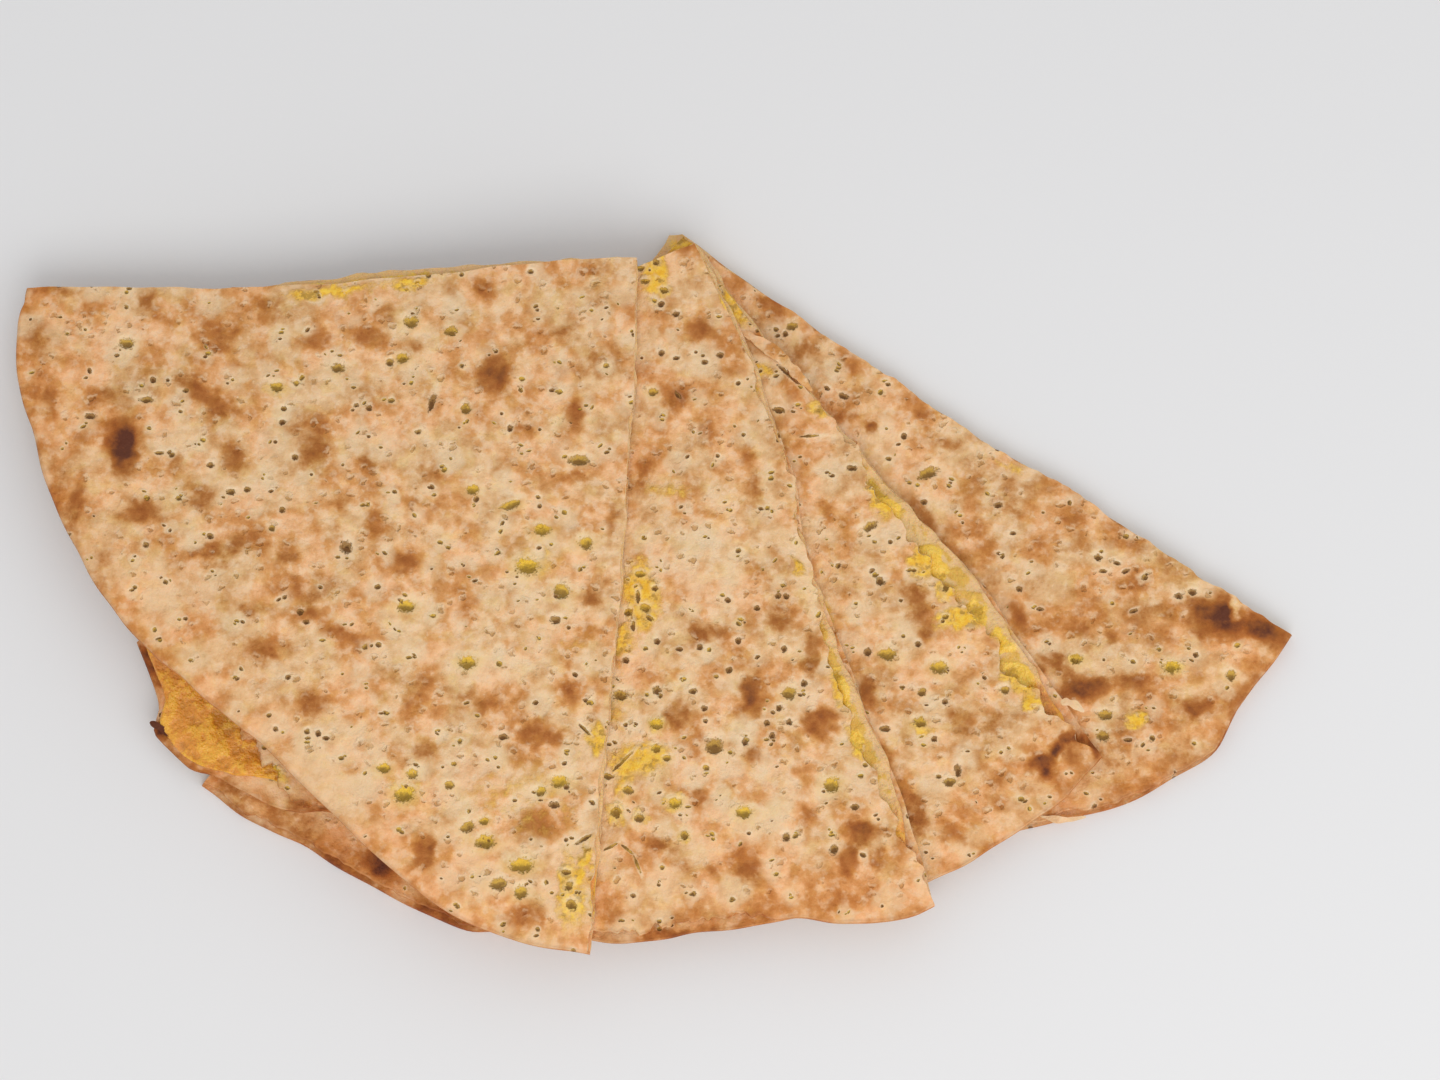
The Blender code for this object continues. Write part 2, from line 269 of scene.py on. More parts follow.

# Toasted and scorched places that the photograph shows, by quarter, in its pixels: each row is
# a centre x and y, half width, half height, how dark it is, to about 1, and any clockwise tilt
# A few rows are painted shadow, the shade that the edge of the quarter above casts; comments mark them
TOASTS_AND_SHADOWS = {
    "top_quarter": (
        (52, 290, 26, 6, 0.45), (90, 308, 13, 10, 0.45), (148, 307, 16, 9, 0.5), (52, 398, 9, 22, 0.6),
        (76, 496, 9, 24, 0.65, 10), (122, 444, 20, 28, 1.15, 5), (34, 370, 14, 64, 0.3, 2),
        (62, 480, 14, 50, 0.26, 16), (104, 570, 14, 40, 0.2, 30), (142, 512, 18, 15, 0.8),
        (206, 397, 32, 11, 0.72, 28), (230, 458, 14, 15, 0.65), (202, 498, 14, 13, 0.65),
        (312, 444, 17, 26, 0.6), (314, 340, 17, 11, 0.65), (256, 306, 17, 8, 0.6),
        (216, 336, 20, 12, 0.5, 10), (372, 338, 14, 12, 0.55), (176, 464, 8, 12, 0.45),
        (100, 396, 12, 10, 0.35), (344, 500, 10, 12, 0.45), (252, 540, 22, 14, 0.45),
        (202, 552, 15, 8, 0.55), (290, 556, 12, 8, 0.6), (152, 356, 16, 14, 0.35), (366, 464, 8, 14, 0.4),
        (484, 288, 14, 12, 0.55), (450, 288, 12, 10, 0.4), (386, 316, 14, 10, 0.5), (410, 348, 12, 9, 0.4),
        (494, 374, 20, 17, 0.78), (576, 414, 12, 17, 0.65), (550, 330, 19, 10, 0.5),
        (597, 356, 11, 10, 0.45), (599, 268, 12, 9, 0.45), (578, 478, 15, 7, 0.5), (614, 516, 6, 19, 0.6),
        (500, 468, 11, 12, 0.5), (432, 470, 12, 17, 0.42), (406, 562, 17, 11, 0.7),
        (372, 528, 15, 14, 0.45), (420, 504, 20, 10, 0.4), (524, 432, 12, 8, 0.45),
        (316, 704, 18, 15, 0.66), (266, 645, 22, 13, 0.55), (344, 636, 24, 9, 0.66, 20),
        (252, 608, 12, 10, 0.45), (184, 628, 10, 10, 0.3), (416, 698, 10, 14, 0.45), (300, 616, 14, 9, 0.6),
        (350, 768, 10, 8, 0.3), (590, 596, 11, 12, 0.45), (587, 634, 10, 10, 0.45), (570, 690, 10, 12, 0.4),
        (538, 734, 21, 13, 0.65), (422, 749, 17, 9, 0.5), (425, 682, 24, 13, 0.5, 10),
        (479, 698, 22, 12, 0.38), (534, 823, 22, 17, 0.66), (425, 852, 11, 17, 0.6),
        (526, 917, 21, 12, 0.5), (511, 546, 14, 12, 0.4), (460, 590, 30, 16, 0.3), (300, 590, 30, 16, 0.3),
        (560, 350, 60, 60, 0.16), (490, 665, 44, 17, -0.22), (460, 775, 50, 26, -0.22, 10),
        (335, 770, 60, 48, -0.3, 45), (480, 875, 34, 28, -0.24, 10), (180, 600, 44, 44, -0.2, 40),
        (120, 340, 24, 18, -0.25), (260, 480, 18, 20, -0.2), (130, 560, 22, 26, -0.2, 30),
        (570, 890, 22, 44, -0.2),
    ),
    "third_quarter": (
        (692, 248, 17, 12, 0.45), (692, 284, 12, 12, 0.35), (700, 330, 17, 14, 0.68),
        (674, 392, 17, 14, 0.5), (708, 420, 14, 30, 0.3), (643, 470, 8, 13, 0.65),
        (752, 476, 8, 30, 0.45, -8), (709, 633, 24, 10, 0.58), (692, 645, 10, 8, 0.4),
        (752, 698, 12, 20, 0.8), (779, 616, 11, 14, 0.52), (813, 650, 10, 24, 0.68),
        (819, 725, 18, 15, 0.74), (675, 712, 12, 14, 0.6), (752, 757, 10, 11, 0.6),
        (747, 859, 15, 21, 0.76, -25), (861, 832, 20, 10, 0.8), (849, 862, 9, 24, 0.82),
        (877, 858, 8, 16, 0.5), (808, 816, 14, 13, 0.5), (796, 741, 10, 12, 0.42), (701, 795, 12, 10, 0.45),
        (683, 869, 10, 9, 0.45), (707, 869, 10, 9, 0.45), (656, 843, 20, 7, 0.5, 8),
        (757, 572, 12, 12, 0.5), (613, 917, 12, 10, 0.5), (690, 933, 60, 4, 0.7, -4),
        (840, 896, 60, 14, 0.28, -3), (868, 693, 5, 10, 0.3), (864, 857, 7, 9, -0.5),
        (700, 560, 44, 50, -0.2), (790, 800, 26, 24, -0.25), (860, 780, 14, 30, -0.2, -20),
        (700, 660, 26, 14, -0.15), (745, 820, 120, 60, -0.13),
    ),
    "second_quarter": (
        (756, 338, 15, 11, 0.6), (823, 510, 8, 14, 0.45), (918, 608, 12, 22, 0.66, -18),
        # (866, 693) is painted shadow along the third quarter's right edge
        (925, 632, 8, 10, 0.5), (866, 693, 10, 22, 0.72, -15), (962, 722, 13, 11, 0.6),
        (994, 720, 12, 10, 0.35), (905, 797, 12, 50, 0.55, -24), (950, 830, 16, 14, 0.45),
        (1043, 763, 14, 11, 1.1), (1054, 750, 13, 8, 1.1, -40), (1070, 740, 16, 7, 1, -20),
        (1085, 738, 13, 7, 1, 20), (1096, 748, 7, 11, 0.95, -20), (1073, 752, 14, 9, 0.5),
        (1000, 790, 60, 22, 0.26, -20), (159, 727, 9, 7, 1.3, 30), (152, 662, 14, 26, 0.9, -30),
        (300, 806, 26, 9, 0.5, 35), (330, 812, 14, 8, 0.4, 30), (200, 775, 50, 8, 0.5, 35),
        (780, 408, 40, 60, 0.12, -30),
    ),
    "bottom_quarter": (
        (738, 284, 15, 11, 0.62, 30), (771, 304, 15, 10, 0.72, 20), (808, 352, 19, 13, 0.55, 20),
        (856, 368, 15, 15, 0.55), (920, 412, 17, 10, 0.62, 20), (870, 428, 6, 8, 0.95),
        # (846, 416) is painted shadow of the second quarter's right edge
        (846, 416, 14, 12, 0.5), (951, 446, 13, 8, 0.6, 20), (972, 484, 17, 13, 0.5),
        (1009, 488, 17, 10, 0.5), (1068, 472, 17, 9, 0.5, 20), (1068, 515, 13, 12, 0.52),
        # (956, 556) and (925, 517) are painted shadow along the second quarter's right edge
        (956, 556, 24, 13, 0.62, 30), (925, 517, 12, 30, 0.55, -40), (1137, 547, 15, 9, 0.5, 20),
        (1169, 611, 17, 10, 0.5), (1068, 624, 27, 14, 0.5), (1111, 640, 8, 8, 0.65),
        (1052, 664, 14, 12, 0.5), (1084, 688, 24, 14, 0.88), (1132, 685, 22, 11, 0.62),
        (1196, 707, 16, 12, 0.88), (1217, 616, 28, 24, 1.05), (1256, 627, 28, 17, 1.05, 15),
        # (1020, 614) is painted shadow along the second quarter's right edge
        (1236, 624, 22, 16, 1), (1281, 640, 10, 12, 0.5), (1020, 614, 9, 17, 0.72, -20),
        (1170, 755, 110, 44, 0.25, -28), (1240, 690, 30, 50, 0.22, 30), (1205, 755, 40, 8, 0.3, -38),
        (1120, 806, 60, 6, 0.3, -18), (1060, 560, 140, 70, 0.27, 28), (830, 360, 70, 34, 0.2, 35),
        (1233, 604, 4, 14, -0.9), (1236, 665, 15, 17, -0.35), (1110, 563, 23, 15, -0.35),
        (1193, 587, 12, 10, -0.3), (382, 864, 17, 17, 1, 40), (225, 780, 22, 10, 0.55, 35),
        (300, 826, 70, 16, 0.42, 33), (348, 872, 50, 3, 0.7, 28), (440, 912, 40, 10, 0.7, 25),
        (262, 826, 36, 3, 0.6, 33),
    ),
}

# Places where cheese and its oil show through the bread: rows alike, with their strength
STAINS = {
    "top_quarter": (
        (277, 387, 14, 9, 0.4), (330, 292, 46, 8, 0.85, -4), (410, 284, 34, 7, 0.8, -4),
        (594, 739, 10, 16, 1), (571, 892, 14, 36, 1.1), (583, 856, 8, 16, 1, 30), (592, 890, 5, 50, 0.6),
        (560, 640, 50, 20, 0.16), (520, 800, 70, 40, 0.22), (405, 790, 22, 20, 0.3),
        (535, 560, 36, 26, 0.2),
    ),
    "third_quarter": (
        (655, 272, 14, 30, 1.1), (730, 300, 7, 24, 0.8, -30), (667, 490, 24, 12, 0.35),
        (640, 598, 22, 38, 1), (628, 640, 12, 20, 0.7), (640, 755, 32, 18, 1), (616, 811, 10, 14, 0.9),
        (640, 815, 9, 10, 0.8), (656, 725, 9, 8, 0.9), (675, 803, 10, 9, 0.8), (620, 770, 12, 30, 0.7),
        (620, 700, 12, 40, 0.35), (838, 690, 10, 22, 0.8, -20), (856, 740, 8, 22, 0.6, -20),
        (798, 566, 6, 18, 0.6, -15), (685, 835, 8, 6, 0.5),
    ),
    "second_quarter": (
        (736, 306, 10, 22, 1, -30), (755, 368, 16, 10, 1.2, 20), (822, 410, 12, 14, 0.8, -30),
        (883, 498, 14, 24, 1.1, -25), (926, 560, 20, 17, 1.1, -40), (944, 588, 12, 12, 1),
        (962, 618, 30, 12, 1.1, -10), (1003, 634, 15, 8, 1), (1020, 678, 16, 26, 1.1, -30),
        (1036, 702, 20, 8, 1), (829, 610, 7, 13, 0.8), (924, 731, 15, 9, 0.7, 20),
        (200, 725, 46, 26, 0.9, 38), (276, 774, 14, 9, 1.1, 30),
    ),
    "bottom_quarter": (
        (672, 238, 24, 16, 1.3), (1172, 664, 14, 9, 0.8), (1135, 720, 10, 9, 1), (1076, 659, 8, 6, 0.8),
        (1009, 467, 22, 5, 0.6, 30), (262, 768, 16, 12, 0.7, 30),
    ),
}

# Places where bare cheese is bright, in rows alike; elsewhere it is dull with oil
CHEESE = {
    "top_quarter": (
        (360, 278, 60, 12, 0.7, -4), (230, 290, 30, 8, 0.3), (594, 739, 10, 18, 1),
    ),
    "third_quarter": (
        (798, 566, 8, 20, 0.6, -15), (838, 690, 12, 24, 0.9, -20), (856, 742, 9, 16, 0.7, -20),
        (735, 300, 8, 18, 0.4, -30),
    ),
    "second_quarter": (
        (738, 314, 10, 18, 0.6, -30), (822, 410, 12, 16, 0.8, -30), (884, 500, 16, 30, 1, -30),
        (930, 562, 18, 22, 1, -38), (972, 618, 20, 18, 1, -38), (1003, 640, 15, 14, 0.8, -38),
        (1024, 684, 18, 26, 1.1, -38), (190, 720, 50, 26, 1.1, 45), (250, 766, 40, 26, 1.3, 30),
        (215, 740, 40, 30, 1.2, 40),
    ),
    "bottom_quarter": (
        (672, 240, 18, 12, 0.6),
    ),
}

# Holes that the photograph shows: rows alike, with how far melted cheese fills the hole
HOLES = {
    "top_quarter": (
        (527, 566, 11, 8, 1), (562, 591, 8, 7, 0.7, 20), (406, 606, 8, 6, 0.9), (542, 530, 8, 6, 0.9),
        (585, 543, 7, 6, 0.8), (511, 505, 10, 4, 0.7, -20), (555, 620, 5, 4, 0.1), (579, 460, 10, 5, 0.4),
        (473, 490, 6, 5, 0.8), (468, 662, 8, 6, 0.9), (405, 794, 9, 8, 1), (384, 768, 6, 5, 0.9),
        (412, 774, 5, 5, 0.8), (449, 785, 5, 4, 0.6), (560, 782, 8, 6, 0.9), (541, 791, 5, 4, 0.8),
        (554, 805, 5, 3, 0), (484, 821, 5, 4, 0.8), (468, 827, 7, 5, 0.5, -20), (485, 842, 9, 7, 0.8),
        (521, 865, 11, 7, 0.9), (499, 884, 8, 6, 0.5), (521, 892, 6, 6, 0.7), (411, 322, 7, 6, 0.6),
        (451, 331, 6, 5, 0.5), (402, 358, 6, 5, 0.7), (390, 362, 4, 4, 0.3), (466, 409, 5, 5, 0.5),
        (432, 402, 3, 9, 0, 15), (127, 343, 7, 5, 0.5), (277, 387, 6, 5, 0.7), (338, 368, 6, 5, 0.4),
        (153, 380, 3, 3, 0), (168, 380, 2, 2, 0), (90, 416, 5, 3, 0), (147, 400, 7, 3, 0.2),
        (159, 453, 4, 2, 0.2), (211, 465, 4, 3, 0.1), (282, 422, 3, 3, 0), (295, 457, 3, 3, 0.1),
        (231, 492, 4, 3, 0.1), (247, 489, 3, 3, 0.1), (346, 547, 6, 6, 0), (210, 536, 3, 3, 0.1),
        (282, 510, 3, 3, 0.1), (272, 528, 3, 3, 0.4), (146, 545, 3, 3, 0.1), (369, 408, 3, 3, 0),
        (510, 428, 3, 3, 0), (584, 839, 9, 2, 0.2, -30), (584, 729, 7, 1.5, 0.2, 45), (503, 737, 5, 3, 0),
        (318, 733, 3, 3, 0), (326, 738, 3, 2, 0), (300, 612, 3, 3, 0), (306, 622, 3, 2, 0),
        (569, 886, 3, 5, 0.3, 30), (572, 905, 5, 5, 0.4), (566, 872, 4, 3, 0.3), (552, 390, 3, 2, 0),
    ),
    "third_quarter": (
        (640, 268, 4, 3, 0.6), (656, 262, 3, 3, 0.3), (664, 290, 4, 3, 0.5), (640, 574, 5, 3, 0.7),
        (655, 588, 3, 3, 0.2), (645, 608, 5, 4, 0.6), (628, 612, 4, 4, 0.5), (656, 748, 5, 4, 0.7),
        (667, 758, 4, 3, 0.6), (628, 790, 5, 4, 0.6), (645, 281, 4, 3, 0.5), (661, 304, 3, 3, 0),
        (676, 314, 3, 3, 0), (661, 353, 3, 3, 0), (676, 358, 3, 2, 0), (720, 355, 3, 3, 0),
        (678, 395, 5, 2, 0, 50), (653, 392, 5, 4, 0.6), (728, 600, 3, 3, 0), (757, 608, 3, 3, 0),
        (778, 596, 3, 3, 0), (786, 596, 3, 3, 0), (700, 647, 3, 3, 0), (738, 641, 3, 3, 0),
        (784, 649, 3, 3, 0), (729, 670, 3, 3, 0), (693, 691, 4, 3, 0.1), (789, 693, 6, 6, 0.5),
        (804, 683, 3, 3, 0), (704, 708, 3, 3, 0), (679, 649, 3, 2, 0), (657, 641, 3, 3, 0),
        (626, 660, 3, 3, 0), (657, 690, 4, 4, 0.1), (772, 736, 3, 3, 0), (745, 742, 3, 4, 0),
        (767, 723, 3, 3, 0), (789, 722, 3, 3, 0), (779, 708, 3, 3, 0), (714, 746, 8, 8, 0.3),
        (616, 812, 5, 5, 0.5), (639, 818, 4, 4, 0.3), (675, 803, 6, 5, 0.9), (744, 812, 7, 6, 0.9),
        (742, 813, 2, 2, 0), (832, 784, 8, 7, 0.8), (656, 724, 6, 5, 0.9), (620, 695, 7, 5, 0.4),
        (685, 835, 4, 4, 0.5), (863, 855, 3, 2, 0.1, 30), (855, 807, 4, 3, 0.1), (834, 849, 4, 4, 0.1),
        (786, 837, 4, 4, 0.1), (622, 762, 1.5, 13, 0.4, 45), (608, 776, 6, 3, 0.4), (638, 596, 2, 6, 0.3),
        (650, 618, 4, 2, 0.3, 30), (633, 626, 2, 5, 0.2), (610, 847, 1.3, 7, 0.4, 62),
        (627, 849, 1.3, 7, 0.4, 128), (637, 864, 1.3, 8, 0.5, 158),
    ),
    "second_quarter": (
        (779, 410, 6, 3, 0.1, 10), (809, 436, 1.3, 9, 0.3, 86), (787, 374, 13, 2, 0, 45),
        (887, 654, 8, 6, 0.7), (939, 667, 8, 6, 0.8), (922, 692, 4, 4, 0.3), (934, 739, 3, 3, 0),
        (885, 729, 5, 3, 0.1), (945, 702, 3, 3, 0), (847, 712, 3, 3, 0), (868, 652, 4, 4, 0),
        (920, 722, 6, 5, 0.6), (870, 526, 7, 4, 0.4, -30), (948, 584, 3, 8, 0.4, 30),
        (1005, 690, 4, 4, 0.5), (272, 772, 9, 6, 0.9, 30), (852, 468, 5, 3, 0), (880, 581, 4, 4, 0.1),
        (872, 571, 3, 3, 0), (918, 644, 3, 3, 0), (806, 562, 3, 3, 0), (950, 782, 6, 4, 0.3),
        (958, 770, 3, 6, 0),
    ),
    "bottom_quarter": (
        (928, 473, 11, 5, 0.4, -22), (792, 326, 5, 4, 0.4), (785, 334, 3, 3, 0), (827, 388, 3, 2, 0, 30),
        (844, 396, 5, 3, 0, 20), (904, 436, 3, 3, 0), (1019, 589, 3, 3, 0), (1040, 609, 3, 2, 0),
        (1134, 611, 4, 2, 0, -20), (1098, 557, 5, 3, 0.1), (1103, 571, 4, 2, 0.1), (1117, 563, 4, 2, 0, 20),
        (1126, 571, 4, 2, 0, -20), (1231, 675, 5, 5, 0.5), (1193, 592, 4, 3, 0), (1179, 596, 4, 3, 0),
        (1172, 667, 8, 6, 0.9), (1105, 715, 7, 5, 0.5), (1103, 736, 6, 5, 0.4), (1128, 740, 4, 2, 0),
        (924, 502, 3, 3, 0), (1076, 659, 6, 5, 0.7), (1013, 533, 3, 2, 0), (998, 505, 4, 3, 0),
    ),
}

# Loose strips and flakes of bread: the photograph's pixels that their middle line runs through,
# half width in pixels, then in mm the clearance, rise of the middle and thickness, and how dark
Strip = namedtuple("Strip", "name quarter layer start middle end wide clear arch thick dark")
STRIPS = (
    Strip("torn_strip", "second_quarter", "upper_sheet", (742, 331), (778, 356), (812, 391),
          wide=6, clear=0.3, arch=1.2, thick=0.8, dark=0.05),
    Strip("pale_chip", "second_quarter", "upper_sheet", (1061, 701), (1072, 704), (1084, 712),
          wide=5, clear=0.4, arch=0.5, thick=0.5, dark=-0.5),
    Strip("torn_lip", "bottom_quarter", "upper_sheet", (1040, 816), (1062, 820), (1086, 817),
          wide=3, clear=0.1, arch=0.3, thick=0.5, dark=-0.3),
    Strip("burnt_nib", "second_quarter", "lower_sheet", (172, 736), (161, 728), (149, 721),
          wide=4.2, clear=-2.2, arch=0.2, thick=1.0, dark=1.3),
)
STRIP_CELLS = (26, 8)

# Where a point of a layer lies in its outline
Spot = namedtuple("Spot", "x y turn share degrees crust sealed")


def length_of(name, description, default, low, high):
    """A setting that is a length in metres."""
    return FloatProperty(
        name=name, description=description, default=default, min=low, max=high,
        subtype="DISTANCE", unit="LENGTH")


def power_of(name, description, default):
    """A setting that is a lamp's power."""
    return FloatProperty(
        name=name, description=description, default=default, min=0.0, max=100.0,
        subtype="POWER", unit="POWER")


def share_of(name, description, default):
    """A setting from 0 to 1."""
    return FloatProperty(
        name=name, description=description, default=default, min=0.0, max=1.0, subtype="FACTOR")


def color_of(name, default):
    """The colour of what the name says, in lower case."""
    return FloatVectorProperty(
        name=name.capitalize(), description=f"Colour of the {name}", default=default, size=3,
        subtype="COLOR", min=0.0, max=1.0)


class BreadSettings(bpy.types.PropertyGroup):
    """Sizes and colours of the sheets of bread."""

    sheet_thickness: length_of(
        "Sheet Thickness", "Thickness of one sheet of bread", 1.9 * MM, 0.5 * MM, 6 * MM)
    cheese_thickness: length_of(
        "Cheese Thickness", "Thickness of the melted cheese", 1.2 * MM, 0.3 * MM, 5 * MM)
    touch_gap: length_of("Touch Gap", "Space between layers that touch", 0.3 * MM, 0.0, 1 * MM)
    quarter_gap: length_of("Quarter Gap", "Space between two quarters", 0.7 * MM, 0.0, 3 * MM)
    dough_relief: length_of(
        "Dough Relief", "Height of the small rises on the baked side", 0.28 * MM, 0.0, 1 * MM)
    hole_depth: length_of("Hole Depth", "Depth of a small hole", 0.55 * MM, 0.0, 1.5 * MM)
    bubble_spacing: length_of(
        "Bubble Spacing", "Distance between two groups of small holes", 10 * MM, 3 * MM, 30 * MM)
    cream: color_of("palest bread", (0.9, 0.577, 0.31))
    pale: color_of("bread round small holes", (0.79, 0.61, 0.39))
    straw: color_of("dull dough", (0.8, 0.6, 0.36))
    fleck: color_of("pale flecks", (0.9, 0.67, 0.45))
    gold: color_of("bread of middling bake", (0.7, 0.362, 0.131))
    tan: color_of("lightly toasted bread", (0.54, 0.23, 0.056))
    toast: color_of("toasted bread", (0.35, 0.115, 0.021))
    scorch: color_of("burnt bread", (0.12, 0.035, 0.016))
    crust: color_of("outermost rim", (0.24, 0.075, 0.03))
    crumb: color_of("crumb at a cut", (0.84, 0.6, 0.35))
    crumb_dark: color_of("dark crumb", (0.62, 0.42, 0.16))
    oiled: color_of("oily bread", (0.7, 0.38, 0.035))
    oiled_light: color_of("pale oily bread", (0.83, 0.5, 0.1))
    curd: color_of("cheese under the bread", (0.86, 0.47, 0.018))
    curd_light: color_of("pale cheese under the bread", (0.93, 0.6, 0.06))
    # Painted shade in the gaps between cheese crumbs
    crevice_shade: color_of("gaps between cheese crumbs", (0.4, 0.23, 0.025))
    # Painted highlight on a knob
    knob: color_of("lit side of a knob", (0.92, 0.71, 0.47))
    lip: color_of("ring of an empty hole", (0.9, 0.68, 0.43))
    oily_lip: color_of("ring of a filled hole", (0.8, 0.56, 0.2))
    # Painted highlight on a hole's ring
    glint: color_of("lit side of a ring", (0.95, 0.78, 0.55))
    # Painted shade in an empty hole
    hollow_shade: color_of("empty hole", (0.34, 0.17, 0.04))
    # Painted light and shade of a filled hole: its lit side, its shaded side and its deepest shade
    filling: color_of("lit side of a filled hole", (0.88, 0.54, 0.03))
    filling_shaded: color_of("dull side of a filled hole", (0.4, 0.24, 0.012))
    filling_shade: color_of("shade in a filled hole", (0.26, 0.14, 0.012))
    # Painted shade at the bottom of an empty hole
    core: color_of("bottom of an empty hole", (0.11, 0.035, 0.004))
    roughness: share_of("Roughness", "Roughness of dry bread", 0.72)


class CheeseSettings(bpy.types.PropertyGroup):
    """Sizes and colours of the melted cheese."""

    lump_height: length_of(
        "Lump Height", "Height of the lumps where the cheese lies bare", 0.9 * MM, 0.0, 3 * MM)
    bright: color_of("bright cheese", (0.92, 0.56, 0.06))
    # Painted highlight on the tops of the lumps
    highlight: color_of("palest cheese", (0.95, 0.65, 0.14))
    # Painted shade in the crevices between lumps
    deep: color_of("cheese in crevices", (0.58, 0.33, 0.02))
    crumby: color_of("crumby cheese", (0.81, 0.53, 0.23))
    crumby_dark: color_of("dark crumby cheese", (0.72, 0.42, 0.07))
    ridge: color_of("crumbs along a cut", (0.8, 0.5, 0.24))
    orange: color_of("browned cheese", (0.74, 0.265, 0.03))
    orange_light: color_of("pale browned cheese", (0.88, 0.41, 0.035))
    # Painted shade in crevices of browned cheese
    orange_shade: color_of("browned cheese in crevices", (0.46, 0.16, 0.015))
    roughness: share_of("Roughness", "Roughness of the cheese", 0.33)


class StageSettings(bpy.types.PropertyGroup):
    """The floor, the lights and the camera."""

    floor_color: color_of("floor", (0.795, 0.8, 0.81))
    air_color: color_of("light from all around", (1.0, 0.995, 1.0))
    key_color: color_of("large soft lamp", (1.0, 0.975, 0.94))
    fill_color: color_of("low lamp at the right", (1.0, 1.0, 1.0))
    ambient: FloatProperty(
        name="Ambient", description="Strength of the light from all around", default=0.67,
        min=0.0, max=3.0)
    key_power: power_of("Key Power", "Power of the large soft lamp", 6.4)
    fill_power: power_of("Fill Power", "Power of the low lamp at the right", 3.0)
    lamp_size: length_of("Lamp Size", "Side of each square lamp", 0.95, 0.05, 3.0)
    camera_elevation: FloatProperty(
        name="Camera Elevation", description="Height of the view above the horizon",
        default=math.radians(80), min=0.0, max=math.radians(89), subtype="ANGLE", unit="ROTATION")
    camera_distance: length_of(
        "Camera Distance", "From the camera to the middle of the bread", 1.1, 0.3, 5.0)
    camera_height: length_of(
        "Target Height", "Height of the point that the camera looks at", 10 * MM, 0.0, 0.1)
    lens: FloatProperty(
        name="Lens", description="Focal length in mm", default=93.54, min=10.0, max=300.0)


def smooth_curve(points, at):
    """A smooth curve through (x, y) points, which never swings past them, read at each x in at."""
    xs, ys = np.array(points, float).T
    steps = np.diff(xs)
    slopes = np.diff(ys) / steps
    inner = slopes[:-1] * slopes[1:]
    mean = np.where(inner > 0, 2 * inner / (slopes[:-1] + slopes[1:] + 1e-12 * (inner <= 0)), 0.0)
    tangents = np.concatenate([slopes[:1], mean, slopes[-1:]])
    at = np.clip(at, xs[0], xs[-1])
    i = np.clip(np.searchsorted(xs, at) - 1, 0, len(steps) - 1)
    t = (at - xs[i]) / steps[i]
    return (
        ys[i] * (1 + 2 * t) * (1 - t) ** 2
        + tangents[i] * steps[i] * t * (1 - t) ** 2
        + ys[i + 1] * t * t * (3 - 2 * t)
        - tangents[i + 1] * steps[i] * t * t * (1 - t)
    )


def along(values, share):
    """A smooth curve through values at even steps of share from 0 to 1."""
    return smooth_curve(list(zip(np.linspace(0, 1, len(values)), values)), share)


def heading(degrees):
    """The unit vectors at clockwise angles."""
    turned = np.radians(-degrees)
    return np.cos(turned), np.sin(turned)


def clockwise(x, y):
    """The clockwise angles of vectors, in degrees from 0 to 360."""
    return np.degrees(-np.arctan2(y, x)) % 360


def ease(value, start, end):
    """0 up to start, 1 from end, and a smooth slope between them. start may be the larger."""
    t = np.clip((value - start) / (end - start), 0, 1)
    return t * t * (3 - 2 * t)


def grain(x, y, size, seed):
    """Smooth noise from about -0.5 to 0.5, with features of that size."""
    flat = zip((x / size).ravel(), (y / size).ravel())
    return np.array([noise.noise((a, b, seed * SEED_STEP)) for a, b in flat]).reshape(np.shape(x))


def layered_grain(x, y, layers):
    """The sum of noises, each given as its share, size and seed."""
    return sum(share * grain(x, y, size, seed) for share, size, seed in layers)


def quarter_disc(u, v):
    """The angle share and radius share of a point of the unit square, bent into a quarter disc."""
    share = np.maximum(u, v)
    ratio = np.minimum(u, v) / np.maximum(share, 1e-9) / 2
    turn = np.where(v <= u, ratio, 1 - ratio)
    return np.where(share < TINY, 0.5, turn), share


def ragged(length, phase):
    """Small ins and outs of an edge, in mm, at each length along it."""
    waves = [np.sin(2 * math.pi * length / size + phase * size) for size in RAGGED_LENGTHS]
    return RAGGED_DEPTH * sum(waves)


def outline(quarter, trim, u, v):
    """Where a point of the unit square comes to lie, seen from above and before the shift."""
    turn, share = quarter_disc(u, v)
    degrees = quarter.right_deg + (quarter.left_deg - quarter.right_deg) * turn
    crust = smooth_curve(quarter.rim, degrees)
    pulled_in = smooth_curve(trim.rim, degrees)
    radius = share * (crust - pulled_in + share**4 * ragged(crust * np.radians(degrees), quarter.tier))
    right_bow = along(quarter.right, share) - along(trim.right, share) + ragged(radius, 1)
    left_bow = along(quarter.left, share) - along(trim.left, share) + ragged(radius, 2)
    x, y = quarter.tip
    for size, degrees_out in (
        (radius, degrees),
        (right_bow * (1 - turn) ** 2, quarter.right_deg - 90),
        (left_bow * turn**2, quarter.left_deg + 90),
    ):
        ahead_x, ahead_y = heading(degrees_out)
        x = x + size * ahead_x
        y = y + size * ahead_y
    sealed = np.clip(1 - pulled_in / SEAL_LOST, 0, 1)
    return Spot(x * MM, y * MM, turn, share, degrees, crust, sealed)


def frame_shift():
    """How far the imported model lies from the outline's own origin, in x and y."""
    edge = np.linspace(0, 1, 15)
    u, v = np.meshgrid(edge, edge)
    spot = outline(QUARTERS[0], NO_TRIM, u, v)
    low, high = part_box("bottom_quarter_lower_sheet")
    return (low[0] + high[0] - spot.x.min() - spot.x.max()) / 2, high[1] - spot.y.max()


SHIFT = frame_shift()


